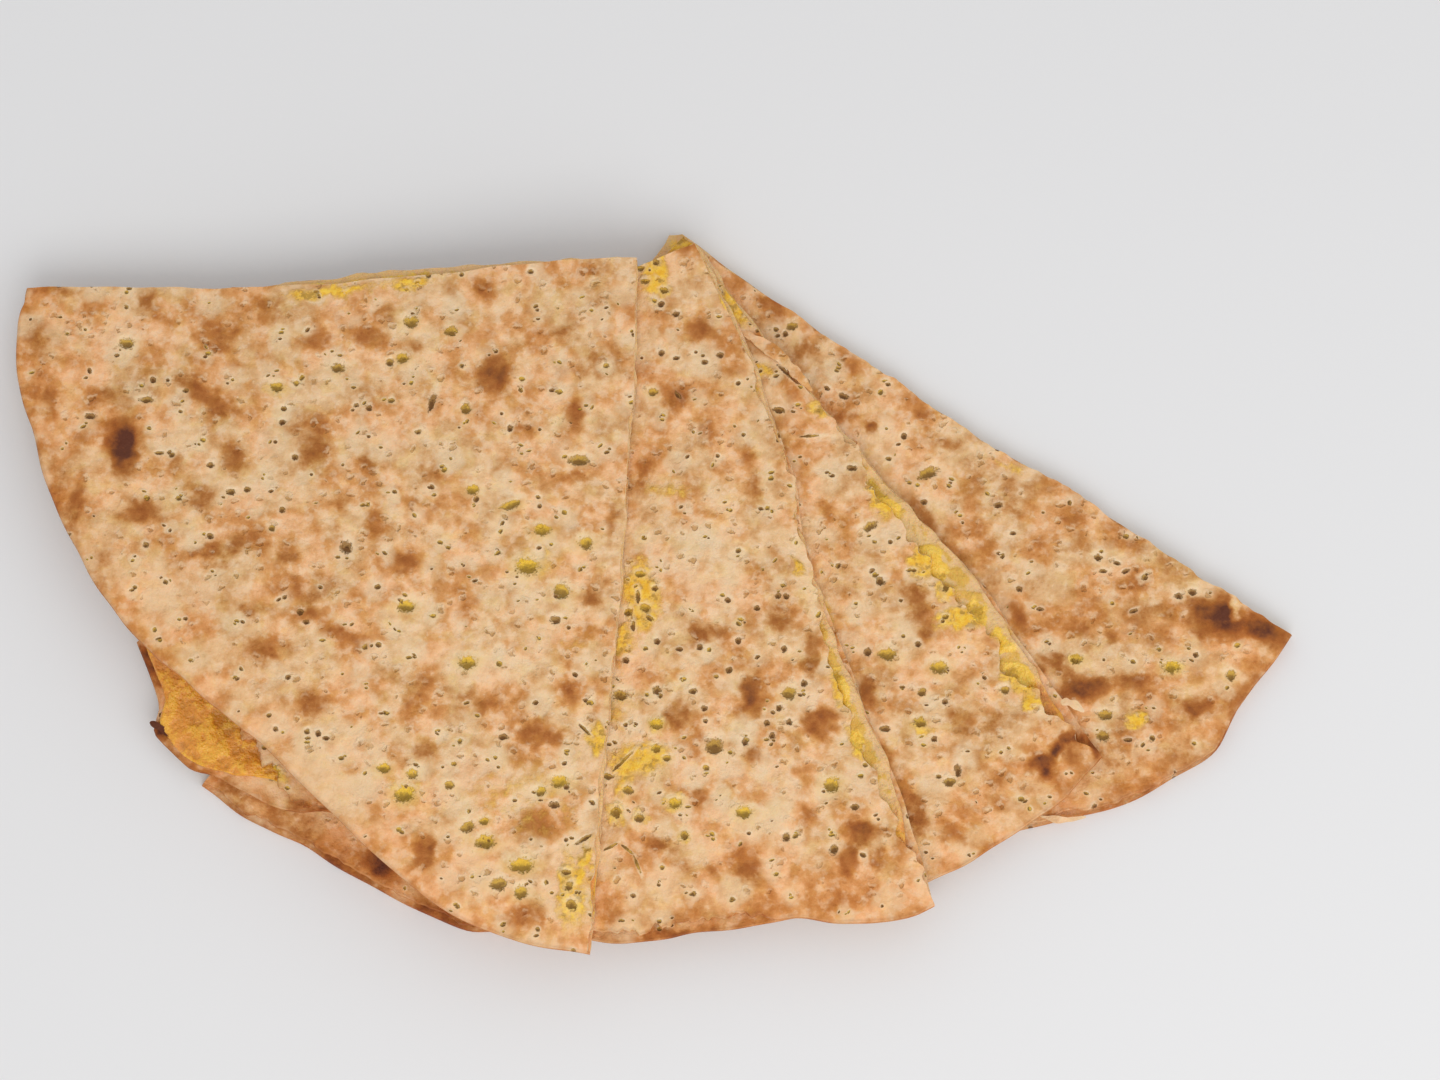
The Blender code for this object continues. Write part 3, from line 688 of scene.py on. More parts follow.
def wave(x, y):
    """The gentle rise and fall that all sheets share, from 0 to WAVE_HEIGHT."""
    swell = np.sin(x / (21 * MM) + 0.6) + np.sin((x + 2 * y) / (38 * MM)) + np.sin(y / (17 * MM) + 2)
    return WAVE_HEIGHT * (swell / 6 + 0.5)


def sag(x, y):
    """How far a quarter hangs down where nothing carries it."""
    from_x = x - SAG_CENTRE[0]
    from_y = y - SAG_CENTRE[1]
    degrees = clockwise(from_x, from_y)
    degrees = np.where(degrees > 270, 0, degrees)
    beyond = np.clip((degrees - SAG_START_DEG) / SAG_SPAN_DEG, 0, 1.1)
    return SAG_DEPTH * beyond**SAG_POWER * np.hypot(from_x, from_y) / SAG_RADIUS


def blisters(x, y, seed):
    """Broad bumps and hollows that baking leaves."""
    rng = np.random.default_rng(seed)
    height = np.zeros_like(x)
    low_x, high_x = x.min(), x.max()
    low_y, high_y = y.min(), y.max()
    for _ in range(BLISTERS):
        centre_x = rng.uniform(low_x, high_x)
        centre_y = rng.uniform(low_y, high_y)
        width = rng.uniform(*BLISTER_WIDTHS)
        rise = rng.uniform(*BLISTER_RISES)
        height += rise * np.exp(-((x - centre_x) ** 2 + (y - centre_y) ** 2) / width**2)
    return BLISTER_HEIGHT * np.clip(height, -1, 1)


def flaps(turn, share):
    """The lift of the torn flaps along a right cut edge."""
    lift = np.zeros_like(turn)
    for place in FLAP_SHARES:
        lift += np.exp(-(((share - place) / FLAP_HALF_LENGTH) ** 2) - (turn / FLAP_DEPTH) ** 2)
    return FLAP_LIFT * lift


def pitch(bread):
    """The height from one quarter to the next."""
    return 2 * bread.sheet_thickness + bread.cheese_thickness + 2 * bread.touch_gap + bread.quarter_gap


def top_of(bread, quarter):
    """The height of a quarter's top before its wave and sag."""
    return (quarter.tier + 1) * pitch(bread) - bread.quarter_gap


def extent_of(bread, kind):
    """A layer's thickness, and the height of its underside over its quarter's own."""
    sheet = bread.sheet_thickness
    if kind == "lower_sheet":
        return sheet, 0
    if kind == "cheese":
        return bread.cheese_thickness, sheet + bread.touch_gap
    return sheet, sheet + bread.cheese_thickness + 2 * bread.touch_gap


class View:
    """The photograph's camera, which tells where on a quarter a pixel lies."""

    def __init__(self, settings):
        rise = settings.camera_elevation
        self.back = Vector((0, -math.cos(rise), math.sin(rise)))
        self.right = Vector((1, 0, 0))
        self.up = self.back.cross(self.right)
        self.target = Vector((SHIFT[0], SHIFT[1], settings.camera_height))
        self.place = self.target + self.back * settings.camera_distance
        self.focus = settings.lens / SENSOR_WIDTH * PHOTO_SIZE[0]

    def on_quarter(self, bread, quarter, px, py):
        """The point of the frame where the ray through a pixel meets the top of a quarter."""
        across = px - PHOTO_SIZE[0] / 2
        upward = PHOTO_SIZE[1] / 2 - py
        ray = self.right * across + self.up * upward - self.back * self.focus
        height = top_of(bread, quarter)
        for _ in range(RAY_ROUNDS):
            point = self.place + ray * ((height - self.place.z) / ray.z)
            x = point.x - SHIFT[0]
            y = point.y - SHIFT[1]
            height = top_of(bread, quarter) + float(wave(x, y) - sag(x, y))
        return point.x, point.y

    def scale(self):
        """Metres of one pixel at the bread."""
        return (self.target - self.place).length / self.focus


def covered(quarter, x, y):
    """0 where a quarter's top is bare, 1 where the next quarter lies on it, for frame points."""
    if quarter is QUARTERS[-1]:
        return np.zeros_like(x)
    above = QUARTERS[quarter.tier + 1]
    from_x = (x - SHIFT[0]) / MM - above.tip[0]
    from_y = (y - SHIFT[1]) / MM - above.tip[1]
    degrees = clockwise(from_x, from_y)
    radius = np.hypot(from_x, from_y)
    inside = np.ones_like(x)
    for depth in (
        radius * np.radians(degrees - above.right_deg),
        radius * np.radians(above.left_deg - degrees),
        smooth_curve(above.rim, degrees) - radius,
    ):
        inside = inside * ease(depth, *COVER_DEPTHS)
    return inside


def select_only(piece):
    """Makes one object the active and only selected one."""
    bpy.ops.object.select_all(action="DESELECT")
    piece.select_set(True)
    bpy.context.view_layer.objects.active = piece


def flat_grid(name, columns, rows, middle):
    """A square grid whose side is 1, with its place in its mesh."""
    bpy.ops.object.select_all(action="DESELECT")
    bpy.ops.mesh.primitive_grid_add(x_subdivisions=columns, y_subdivisions=rows, size=1, location=middle)
    piece = bpy.context.object
    piece.name = name
    piece.data.name = name
    bpy.ops.object.transform_apply(location=True, rotation=False, scale=False)
    return piece


def slab(name, cells):
    """A slab on the unit square, one high: a grid that is extruded upwards row by row."""
    piece = flat_grid(name, cells, cells, (0.5, 0.5, 0))
    bpy.ops.object.mode_set(mode="EDIT")
    bpy.ops.mesh.select_all(action="SELECT")
    for _ in range(WALL_ROWS):
        bpy.ops.mesh.extrude_region_move(TRANSFORM_OT_translate={"value": (0, 0, 1 / WALL_ROWS)})
    bpy.ops.mesh.select_all(action="SELECT")
    bpy.ops.mesh.normals_make_consistent(inside=False)
    bpy.ops.object.mode_set(mode="OBJECT")
    return piece


def vectors(parts, name):
    """A vector of each vertex or face as an array with three columns."""
    flat = np.empty(len(parts) * 3)
    parts.foreach_get(name, flat)
    return flat.reshape(-1, 3)


def write_points(mesh, *columns):
    """Places the mesh's vertices at those x, y and z."""
    mesh.vertices.foreach_set("co", np.column_stack(columns).ravel())
    mesh.update()


def paint(mesh, name, domain, *columns):
    """Gives the mesh a vector attribute with those three numbers."""
    layer = mesh.attributes.new(name, "FLOAT_VECTOR", domain)
    values = np.column_stack(np.broadcast_arrays(*columns))
    layer.data.foreach_set("vector", values.astype(np.float32).ravel())


def spots_on(view, bread, quarter, marks):
    """The marks of a quarter as rows of centre, half sizes and turn in the frame, and strength."""
    rows = []
    size = view.scale()
    for px, py, wide, high, strength, *tilt in marks:
        x, y = view.on_quarter(bread, quarter, px, py)
        rows.append((x, y, wide * size, high * size, -math.radians(tilt[0] if tilt else 0), strength))
    return np.array(rows).reshape(-1, 6)


def offsets(x, y, spot):
    """Each point's offset from a spot, or from its own one, as shares of the spot's half sizes."""
    from_x = x - spot[0]
    from_y = y - spot[1]
    turn_x = np.cos(spot[TURN])
    turn_y = np.sin(spot[TURN])
    return (
        (from_x * turn_x + from_y * turn_y) / spot[WIDE],
        (from_y * turn_x - from_x * turn_y) / spot[HIGH],
    )


def spread(x, y, spots, reach):
    """How strongly the spots mark each point: full inside a spot and gone at reach half sizes."""
    warped_x = x + RIM_WARP * layered_grain(x, y, RIM_GRAINS_X)
    warped_y = y + RIM_WARP * layered_grain(warped_x, y, RIM_GRAINS_Y)
    dark = np.zeros_like(x)
    light = np.zeros_like(x)
    for spot in spots:
        across, upward = offsets(warped_x, warped_y, spot)
        fall = spot[STRENGTH] * ease(np.hypot(across, upward), reach, FULL_INSIDE)
        dark = np.maximum(dark, fall)
        light = np.minimum(light, fall)
    return dark + light


def scatter(rng, x, y, spacing, tries):
    """Places among the points x and y that lie at least about the spacing from each other."""
    low = (x.min(), y.min())
    high = (x.max(), y.max())
    places = np.empty((0, 2))
    for _ in range(tries):
        place = rng.uniform(low, high)
        if not len(places) or np.hypot(*(places - place).T).min() > spacing * rng.uniform(*SPACINGS):
            places = np.vstack([places, place])
    return places


def bubbles_of(bread, view, quarter, x, y):
    """The pale places with small holes: rows of centre, half sizes, turn and strength."""
    rng = np.random.default_rng(BUBBLE_SEED + quarter.tier)
    toasts = spots_on(view, bread, quarter, TOASTS_AND_SHADOWS[quarter.name])
    toasts = toasts[toasts[:, STRENGTH] > BUBBLES_AVOID]
    rows = []
    for centre_x, centre_y in scatter(rng, x, y, bread.bubble_spacing, BUBBLE_TRIES):
        across, upward = offsets(centre_x, centre_y, toasts.T)
        if np.hypot(across, upward).min() > BUBBLE_CLEARANCE:
            wide = rng.uniform(*BUBBLE_HALF_WIDTHS)
            high = wide * rng.uniform(0.6, 1.0)
            rows.append((centre_x, centre_y, wide, high, rng.uniform(0, math.pi), rng.uniform(0.4, 1)))
    return np.array(rows)


def small_hole(rng, x, y, wide):
    """A small hole somewhere in a bubble."""
    reach = rng.uniform(0.0, 0.9) * wide
    turn = rng.uniform(0, 2 * math.pi)
    size = rng.uniform(*SMALL_HOLE_SIZES)
    filled = rng.choice(SMALL_HOLE_FILLINGS)
    high = size * rng.uniform(0.45, 1.0)
    return x + reach * math.cos(turn), y + reach * math.sin(turn), size, high, rng.normal(0, 0.5), filled


def holes_of(bread, view, quarter, bubbles):
    """All holes of a quarter: those that the photograph shows, and small ones in the bubbles."""
    rng = np.random.default_rng(HOLE_SEED + quarter.tier)
    rows = []
    for x, y, wide, *_ in bubbles:
        for _ in range(rng.integers(1, 4)):
            rows.append(small_hole(rng, x, y, wide))
    return np.concatenate([spots_on(view, bread, quarter, HOLES[quarter.name]), rows])


def nearest_holes(mesh, holes):
    """The number of the nearest hole for each face."""
    x, y, _ = vectors(mesh.polygons, "center").T
    nearest = np.full(len(x), np.inf)
    chosen = np.zeros(len(x), int)
    for index, hole in enumerate(holes):
        distance = np.hypot(*offsets(x, y, hole))
        closer = distance < nearest
        nearest[closer] = distance[closer]
        chosen[closer] = index
    return chosen


def paint_holes(mesh, holes):
    """Gives each face's corners their offset from the face's nearest hole, and its filling."""
    sizes = np.empty(len(mesh.polygons), int)
    mesh.polygons.foreach_get("loop_total", sizes)
    corner_vertex = np.empty(len(mesh.loops), int)
    mesh.loops.foreach_get("vertex_index", corner_vertex)
    x, y, _ = vectors(mesh.vertices, "co")[corner_vertex].T
    spot = holes[np.repeat(nearest_holes(mesh, holes), sizes)].T
    across, upward = offsets(x, y, spot)
    paint(mesh, "hole", "CORNER", across, upward, spot[STRENGTH])


def pits_of(x, y, holes):
    """How deep each point lies in a hole that is wide enough for the mesh, from 0 to 1."""
    pits = np.zeros_like(x)
    for hole in holes[holes[:, WIDE] > DENT_SIZE]:
        across, upward = offsets(x, y, hole)
        distance = across**2 + upward**2
        near = distance < 9
        pits[near] = np.maximum(pits[near], (1 - 0.4 * hole[STRENGTH]) * np.exp(-distance[near]))
    return pits


def thin_underside(piece):
    """Thins the faces that look down, where they lie hidden on the next layer."""
    down = vectors(piece.data.polygons, "normal")[:, 2] < FACES_DOWN
    select_only(piece)
    bpy.ops.object.mode_set(mode="EDIT")
    bpy.ops.mesh.select_mode(type="FACE")
    bpy.ops.mesh.select_all(action="DESELECT")
    bpy.ops.object.mode_set(mode="OBJECT")
    piece.data.polygons.foreach_set("select", down)
    bpy.ops.object.mode_set(mode="EDIT")
    bpy.ops.mesh.decimate(ratio=UNDERSIDE_KEPT)
    bpy.ops.object.mode_set(mode="OBJECT")


def finish_piece(piece, node, slot):
    """Shades a piece, gives it the finish of its slot and puts it in its node's place."""
    select_only(piece)
    bpy.ops.object.shade_smooth_by_angle(angle=SMOOTH_ANGLE)
    piece.data.materials.clear()
    piece.data.materials.append(bpy.data.materials[FINISHES[slot]])
    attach(piece, "root")
    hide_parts(node)


class Layer:
    """One layer of a quarter, from a flat slab to a finished piece."""

    def __init__(self, context, quarter, kind, look, cells):
        self.bread = context.scene.tamees_bread
        self.view = View(context.scene.tamees_stage)
        self.quarter = quarter
        self.node = f"{quarter.name}_{kind}"
        self.piece = slab(f"{look}_{self.node}", cells)
        self.mesh = self.piece.data
        v, u, self.above = vectors(self.mesh.vertices, "co").T.copy()
        self.lie(outline(quarter, TRIMS.get(self.node, NO_TRIM), u, v))
        thickness, lowest = extent_of(self.bread, kind)
        base = quarter.tier * pitch(self.bread) + lowest + self.above * thickness
        self.height = base + wave(self.spot.x, self.spot.y) - sag(self.spot.x, self.spot.y)

    def lie(self, spot):
        """Puts the points at a spot of the outline, and in the frame."""
        self.spot = spot
        self.x = spot.x + SHIFT[0]
        self.y = spot.y + SHIFT[1]

    def tear(self):
        """Tears the right edge of an upper sheet, and the crust where it is pulled in."""
        spot = self.spot
        length = spot.share * spot.crust * MM
        fade = np.exp(-spot.turn / TEAR_REACH) * ease(spot.share, 1, 0.94) * ease(spot.share, 0.05, 0.3)
        size = TEARS[self.quarter.name] * MM * layered_grain(length, 0 * length, TEAR_GRAINS) * fade
        out_x, out_y = heading(self.quarter.right_deg - 90)
        arc = np.radians(spot.degrees) * spot.crust * MM
        push = CRUST_TEAR * layered_grain(arc, 0 * arc, CRUST_GRAINS) * (1 - spot.sealed) * spot.share**8
        ahead_x, ahead_y = heading(spot.degrees)
        self.lie(spot._replace(
            x=spot.x + size * out_x + push * ahead_x, y=spot.y + size * out_y + push * ahead_y))

    def bake(self):
        """What the oven did: the paint for toasting, oil and paleness, and the quarter's holes."""
        name = self.quarter.name
        on_quarter = (self.view, self.bread, self.quarter)
        # The toasting paint also holds the painted shadows among the table's rows
        self.toasted = spread(self.x, self.y, spots_on(*on_quarter, TOASTS_AND_SHADOWS[name]), TOAST_REACH)
        self.oil = spread(self.x, self.y, spots_on(*on_quarter, STAINS[name]), STAIN_REACH)
        bubbles = bubbles_of(self.bread, self.view, self.quarter, self.x, self.y)
        self.pale = spread(self.x, self.y, bubbles, TOAST_REACH)
        self.holes = holes_of(self.bread, self.view, self.quarter, bubbles)

    def on_crust(self):
        """Where a point is on the crust's side of the slab."""
        return self.spot.share > 1 - TINY

    def wall_relief(self):
        """How far a wall of bread stands out: round at the crust, crumbly at a cut."""
        crumble = grain(self.x + self.above * CRUMB_LEAN, self.y, CRUMB_SIZE, 5) * WALL_RELIEF
        rounded = WALL_RELIEF * np.sin(math.pi * self.above)
        return np.where(self.on_crust(), rounded, crumble * (self.above < 1))

    def settle(self, bulge):
        """Places the vertices, with the slab's walls pushed out by the bulge."""
        on_crust = self.on_crust()
        on_right = (self.spot.turn < TINY) & ~on_crust
        on_left = (self.spot.turn > 1 - TINY) & ~on_crust
        degrees = np.where(on_right, self.quarter.right_deg - 90, self.spot.degrees)
        degrees = np.where(on_left, self.quarter.left_deg + 90, degrees)
        out_x, out_y = heading(degrees)
        bulge = bulge * (on_crust | on_right | on_left)
        write_points(self.mesh, self.x + out_x * bulge, self.y + out_y * bulge, self.height)

    def paint_edges(self):
        """Gives each vertex its distance in mm from a cut edge and from the crust, and its height."""
        spot = self.spot
        span = spot.degrees.max() - spot.degrees.min()
        to_cut = np.minimum(spot.turn, 1 - spot.turn) * np.radians(span) * spot.share * spot.crust
        to_crust = (1 - spot.share) * spot.crust
        paint(self.mesh, "edge", "POINT", to_cut, to_crust, self.above)
        side = np.abs(vectors(self.mesh.polygons, "normal")[:, 2]) < FACES_SIDEWAYS
        paint(self.mesh, "side", "FACE", side, side, side)

    def finish_bread(self, toasted, oil, slot):
        """Paints and finishes a sheet of bread."""
        paint(self.mesh, "mark", "POINT", toasted, oil, self.pale)
        self.paint_edges()
        paint_holes(self.mesh, self.holes)
        if slot == "toasted_bread":
            thin_underside(self.piece)
        finish_piece(self.piece, self.node, slot)


def model_upper_sheet(context, quarter):
    """Models the baked upper sheet of a quarter."""
    layer = Layer(context, quarter, "upper_sheet", "baked", UPPER_CELLS[quarter.name])
    layer.tear()
    spot = layer.spot
    x, y = layer.x, layer.y
    layer.height += layer.above * blisters(spot.x, spot.y, quarter.tier)
    layer.height -= SEAM_DIP * spot.sealed * ease(spot.share, SEAM_START, 1)
    if quarter.name == "second_quarter":
        layer.height += flaps(spot.turn, spot.share)
    layer.bake()
    bare = 1 - covered(quarter, x, y)
    rises = layered_grain(x, y, DOUGH_GRAINS) + 0.6 * layer.toasted - 0.3 * layer.pale
    relief = layer.bread.dough_relief * rises * (0.25 + 0.75 * bare)
    relief -= layer.bread.hole_depth * pits_of(x, y, layer.holes) * bare
    layer.height += layer.above * relief
    layer.settle(layer.wall_relief())
    layer.finish_bread(layer.toasted, layer.oil, "toasted_bread")


def browned_places(rng, x, y):
    """Random browned places of an underside: rows as those of spots_on."""
    return [
        (*place, rng.uniform(3, 6) * MM, rng.uniform(3, 5) * MM, rng.uniform(0, 3), rng.uniform(0.3, 0.7))
        for place in scatter(rng, x, y, BROWNED_SPACING, BROWNED_TRIES)
    ]


def model_lower_sheet(context, quarter):
    """Models the lower sheet of a quarter."""
    layer = Layer(context, quarter, "lower_sheet", "baked", LOWER_CELLS)
    if quarter.tier == 0:
        layer.height = np.where(layer.above > 0.99, layer.height, layer.height * layer.above)
    layer.settle(layer.wall_relief())
    rng = np.random.default_rng(BROWNED_SEED + quarter.tier)
    browned = spread(layer.x, layer.y, browned_places(rng, layer.x, layer.y), BROWNED_REACH)
    layer.bake()
    under = layer.above < 0.5
    layer.finish_bread(
        np.where(under, browned, layer.toasted), np.where(under, 0, layer.oil), "bread")


def bare_cheese(layer):
    """1 where the upper sheet leaves the cheese bare, and 0 where it covers it."""
    spot = layer.spot
    quarter = layer.quarter
    lid = TRIMS[f"{quarter.name}_upper_sheet"]
    own = TRIMS[layer.node]
    past_right = along(lid.right, spot.share) - along(own.right, spot.share)
    from_right = spot.turn * np.radians(quarter.left_deg - quarter.right_deg) * spot.share * spot.crust
    past_rim = smooth_curve(lid.rim, spot.degrees) - smooth_curve(own.rim, spot.degrees)
    from_rim = (1 - spot.share) * spot.crust
    return np.maximum(ease(past_right - from_right, -0.5, 1.5), ease(past_rim - from_rim, -0.5, 2))


def model_cheese(context, quarter):
    """Models the melted cheese of a quarter, with lumps where no bread covers it."""
    layer = Layer(context, quarter, "cheese", "melted", CHEESE_CELLS[quarter.name])
    x, y = layer.x, layer.y
    lumps = layered_grain(x, y, LUMP_GRAINS)
    lump_height = context.scene.tamees_cheese.lump_height
    layer.height += layer.above * bare_cheese(layer) * lump_height * (lumps + LUMPS_RAISED)
    uneven = 0.6 + 1.6 * grain(x, y, 7 * MM, 10)
    layer.settle(CHEESE_BULGE * np.sin(math.pi * layer.above) * uneven)
    lit = spots_on(layer.view, layer.bread, quarter, CHEESE[quarter.name])
    bright = spread(x, y, lit, STAIN_REACH)
    paint(layer.mesh, "mark", "POINT", lumps, bright, layer.above)
    layer.paint_edges()
    finish_piece(layer.piece, layer.node, "cheddar")


def bend_strip(strip, bread, view, quarter, share, across):
    """Where the points of a flat strip come to lie on a quarter, from their share of its length."""
    ends = [view.on_quarter(bread, quarter, *pixel) for pixel in (strip.start, strip.middle, strip.end)]
    x = smooth_curve([(step, end[0]) for step, end in zip((0, 0.5, 1), ends)], share)
    y = smooth_curve([(step, end[1]) for step, end in zip((0, 0.5, 1), ends)], share)
    ahead = Vector(ends[2]) - Vector(ends[0])
    ahead.normalize()
    half = view.scale() * strip.wide * (1 - np.abs(2 * share - 1) ** 3 * STRIP_TAPER)
    half = half * (1 + STRIP_RAGGED * grain(x, y, 2.5 * MM, 41)) * 2 * across
    x = x - ahead.y * half
    y = y + ahead.x * half
    rise = strip.clear + strip.arch * (1 - (2 * share - 1) ** 2) + STRIP_CURL * grain(x, y, 3 * MM, 42)
    place = (x - SHIFT[0], y - SHIFT[1])
    return x, y, top_of(bread, quarter) + wave(*place) - sag(*place) + rise * MM


def model_strip(context, strip):
    """Models a loose strip of bread: a grid bent along its path on a quarter, and thickened."""
    bread = context.scene.tamees_bread
    view = View(context.scene.tamees_stage)
    quarter = next(quarter for quarter in QUARTERS if quarter.name == strip.quarter)
    piece = flat_grid(strip.name, *STRIP_CELLS, (0.5, 0, 0))
    mesh = piece.data
    share, across, _ = vectors(mesh.vertices, "co").T
    write_points(mesh, *bend_strip(strip, bread, view, quarter, share, across))
    paint(mesh, "mark", "POINT", np.full(len(share), strip.dark), 0, 0)
    paint(mesh, "hole", "CORNER", np.full(len(mesh.loops), FAR_OFF), FAR_OFF, 0)
    paint(mesh, "edge", "POINT", np.full(len(share), FAR_OFF), FAR_OFF, 1)
    select_only(piece)
    thicken = piece.modifiers.new("thicken", "SOLIDIFY")
    thicken.thickness = strip.thick * MM
    bpy.ops.object.modifier_apply(modifier=thicken.name)
    slot = "toasted_bread" if strip.layer == "upper_sheet" else "bread"
    finish_piece(piece, f"{quarter.name}_{strip.layer}", slot)


def maths(operation, swapped=False):
    """A method that adds the node for an operation on a value and another one."""

    def work_out(self, other):
        return self.finish.math(operation, *((other, self) if swapped else (self, other)))

    return work_out


class Wire:
    """A value in a material. Maths on it adds the nodes that work it out."""

    def __init__(self, finish, socket):
        self.finish = finish
        self.socket = socket

    __add__ = __radd__ = maths("ADD")
    __sub__ = maths("SUBTRACT")
    __rsub__ = maths("SUBTRACT", swapped=True)
    __mul__ = __rmul__ = maths("MULTIPLY")
    __truediv__ = maths("DIVIDE")
    __pow__ = maths("POWER")

    def sway(self, reach):
        """A noise about 0 rather than 0.5, made as strong as the reach."""
        return (self - 0.5) * reach

    def step(self, start, end):
        """0 up to start, 1 from end, and a smooth slope between."""
        return self.finish.node(
            "ShaderNodeMapRange", {"interpolation_type": "SMOOTHSTEP"},
            {"Value": self, "From Min": start, "From Max": end})


def fill_ramp(ramp, stops):
    """Gives a colour ramp its (position, colour) stops."""
    while len(ramp.elements) < len(stops):
        ramp.elements.new(1.0)
    for element, (position, color) in zip(ramp.elements, stops):
        element.position = position
        element.color = (*color, 1)[:4]


class Finish:
    """A material whose nodes are added by calls."""

    def __init__(self, name):
        self.material = bpy.data.materials.new(name)
        self.material.use_nodes = True
        self.tree = self.material.node_tree
        self.surface = self.tree.nodes["Principled BSDF"]
        self.place = self.node("ShaderNodeTexCoord", output="Object")

    def node(self, kind, settings=None, sockets=None, output=0):
        """Adds a node: its settings first, then the values or links of its sockets."""
        made = self.tree.nodes.new(kind)
        for key, value in (settings or {}).items():
            if key == "stops":
                fill_ramp(made.color_ramp, value)
            else:
                setattr(made, key, value)
        shown = {socket.name: socket for socket in reversed(made.inputs) if socket.enabled}
        for key, value in (sockets or {}).items():
            self.feed(made.inputs[key] if isinstance(key, int) else shown[key], value)
        results = [socket for socket in made.outputs if socket.enabled]
        if isinstance(output, int):
            return Wire(self, results[output])
        return Wire(self, next(socket for socket in results if socket.name == output))

    def feed(self, socket, value):
        """Links a value into a socket, or sets the socket to a number or a colour."""
        if isinstance(value, Wire):
            self.tree.links.new(value.socket, socket)
        elif socket.type == "RGBA":
            socket.default_value = (*value, 1)[:4]
        else:
            socket.default_value = value

    def set(self, name, value):
        """Feeds one of the surface's own sockets."""
        self.feed(self.surface.inputs[name], value)

    def soften(self, weight, radius):
        """Lets light go a little way into the surface."""
        self.set("Subsurface Weight", weight)
        self.set("Subsurface Radius", radius)
        self.set("Subsurface Scale", 0.5)

    def math(self, operation, *values):
        """A sum on numbers."""
        return self.node("ShaderNodeMath", {"operation": operation}, dict(enumerate(values)))

    def vector_math(self, operation, *values):
        """A sum on vectors or colours."""
        return self.node("ShaderNodeVectorMath", {"operation": operation}, dict(enumerate(values)))

    def split(self, vector, part):
        """One of the three numbers of a vector."""
        return self.node("ShaderNodeSeparateXYZ", sockets={0: vector}, output=part)

    def mix(self, share, low, high):
        """From one colour to another."""
        return self.node("ShaderNodeMix", {"data_type": "RGBA"}, {"Factor": share, "A": low, "B": high})

    def tint(self, share, color, factors):
        """A colour with a share of it multiplied by factors, one for each of its channels."""
        return self.mix(share, color, self.vector_math("MULTIPLY", color, factors))

    def ramp(self, value, stops):
        """A colour along a row of (position, colour) stops."""
        return self.node("ShaderNodeValToRGB", {"stops": stops}, {0: value})

    def noise(self, size, detail=2.0, roughness=0.5, moved=None, output=0):
        """Noise from 0 to 1 with features of that size, moved away so that it differs from another."""
        place = self.vector_math("ADD", self.place, moved) if moved else self.place
        return self.node(
            "ShaderNodeTexNoise", {"noise_dimensions": "3D"},
            {"Vector": place, "Scale": 1 / size, "Detail": detail, "Roughness": roughness}, output)

    def cells(self, size):
        """Scattered points about that far apart: the distance, y offset and number of the nearest."""
        drift = self.noise(size / 1.6, output="Color")
        place = self.vector_math("MULTIPLY_ADD", drift, (0.9 * size,) * 3, self.place)
        nearest = self.node(
            "ShaderNodeTexVoronoi", {"voronoi_dimensions": "3D", "feature": "F1"},
            {"Vector": place, "Scale": 1 / size, "Randomness": 1.0}, "Distance")
        found = nearest.socket.node.outputs
        offset = self.vector_math("SUBTRACT", place, Wire(self, found["Position"]))
        return nearest, self.split(offset, 1) / size, self.split(Wire(self, found["Color"]), 0)

    def parts(self, name):
        """The three numbers of a vector attribute."""
        vector = self.node("ShaderNodeAttribute", {"attribute_name": name}, output="Vector")
        return [self.split(vector, part) for part in range(3)]

    def bump(self, height):
        """Gives the surface a relief whose height is in mm."""
        sockets = {"Strength": 1.0, "Distance": MM, "Height": height}
        self.set("Normal", self.node("ShaderNodeBump", sockets=sockets))


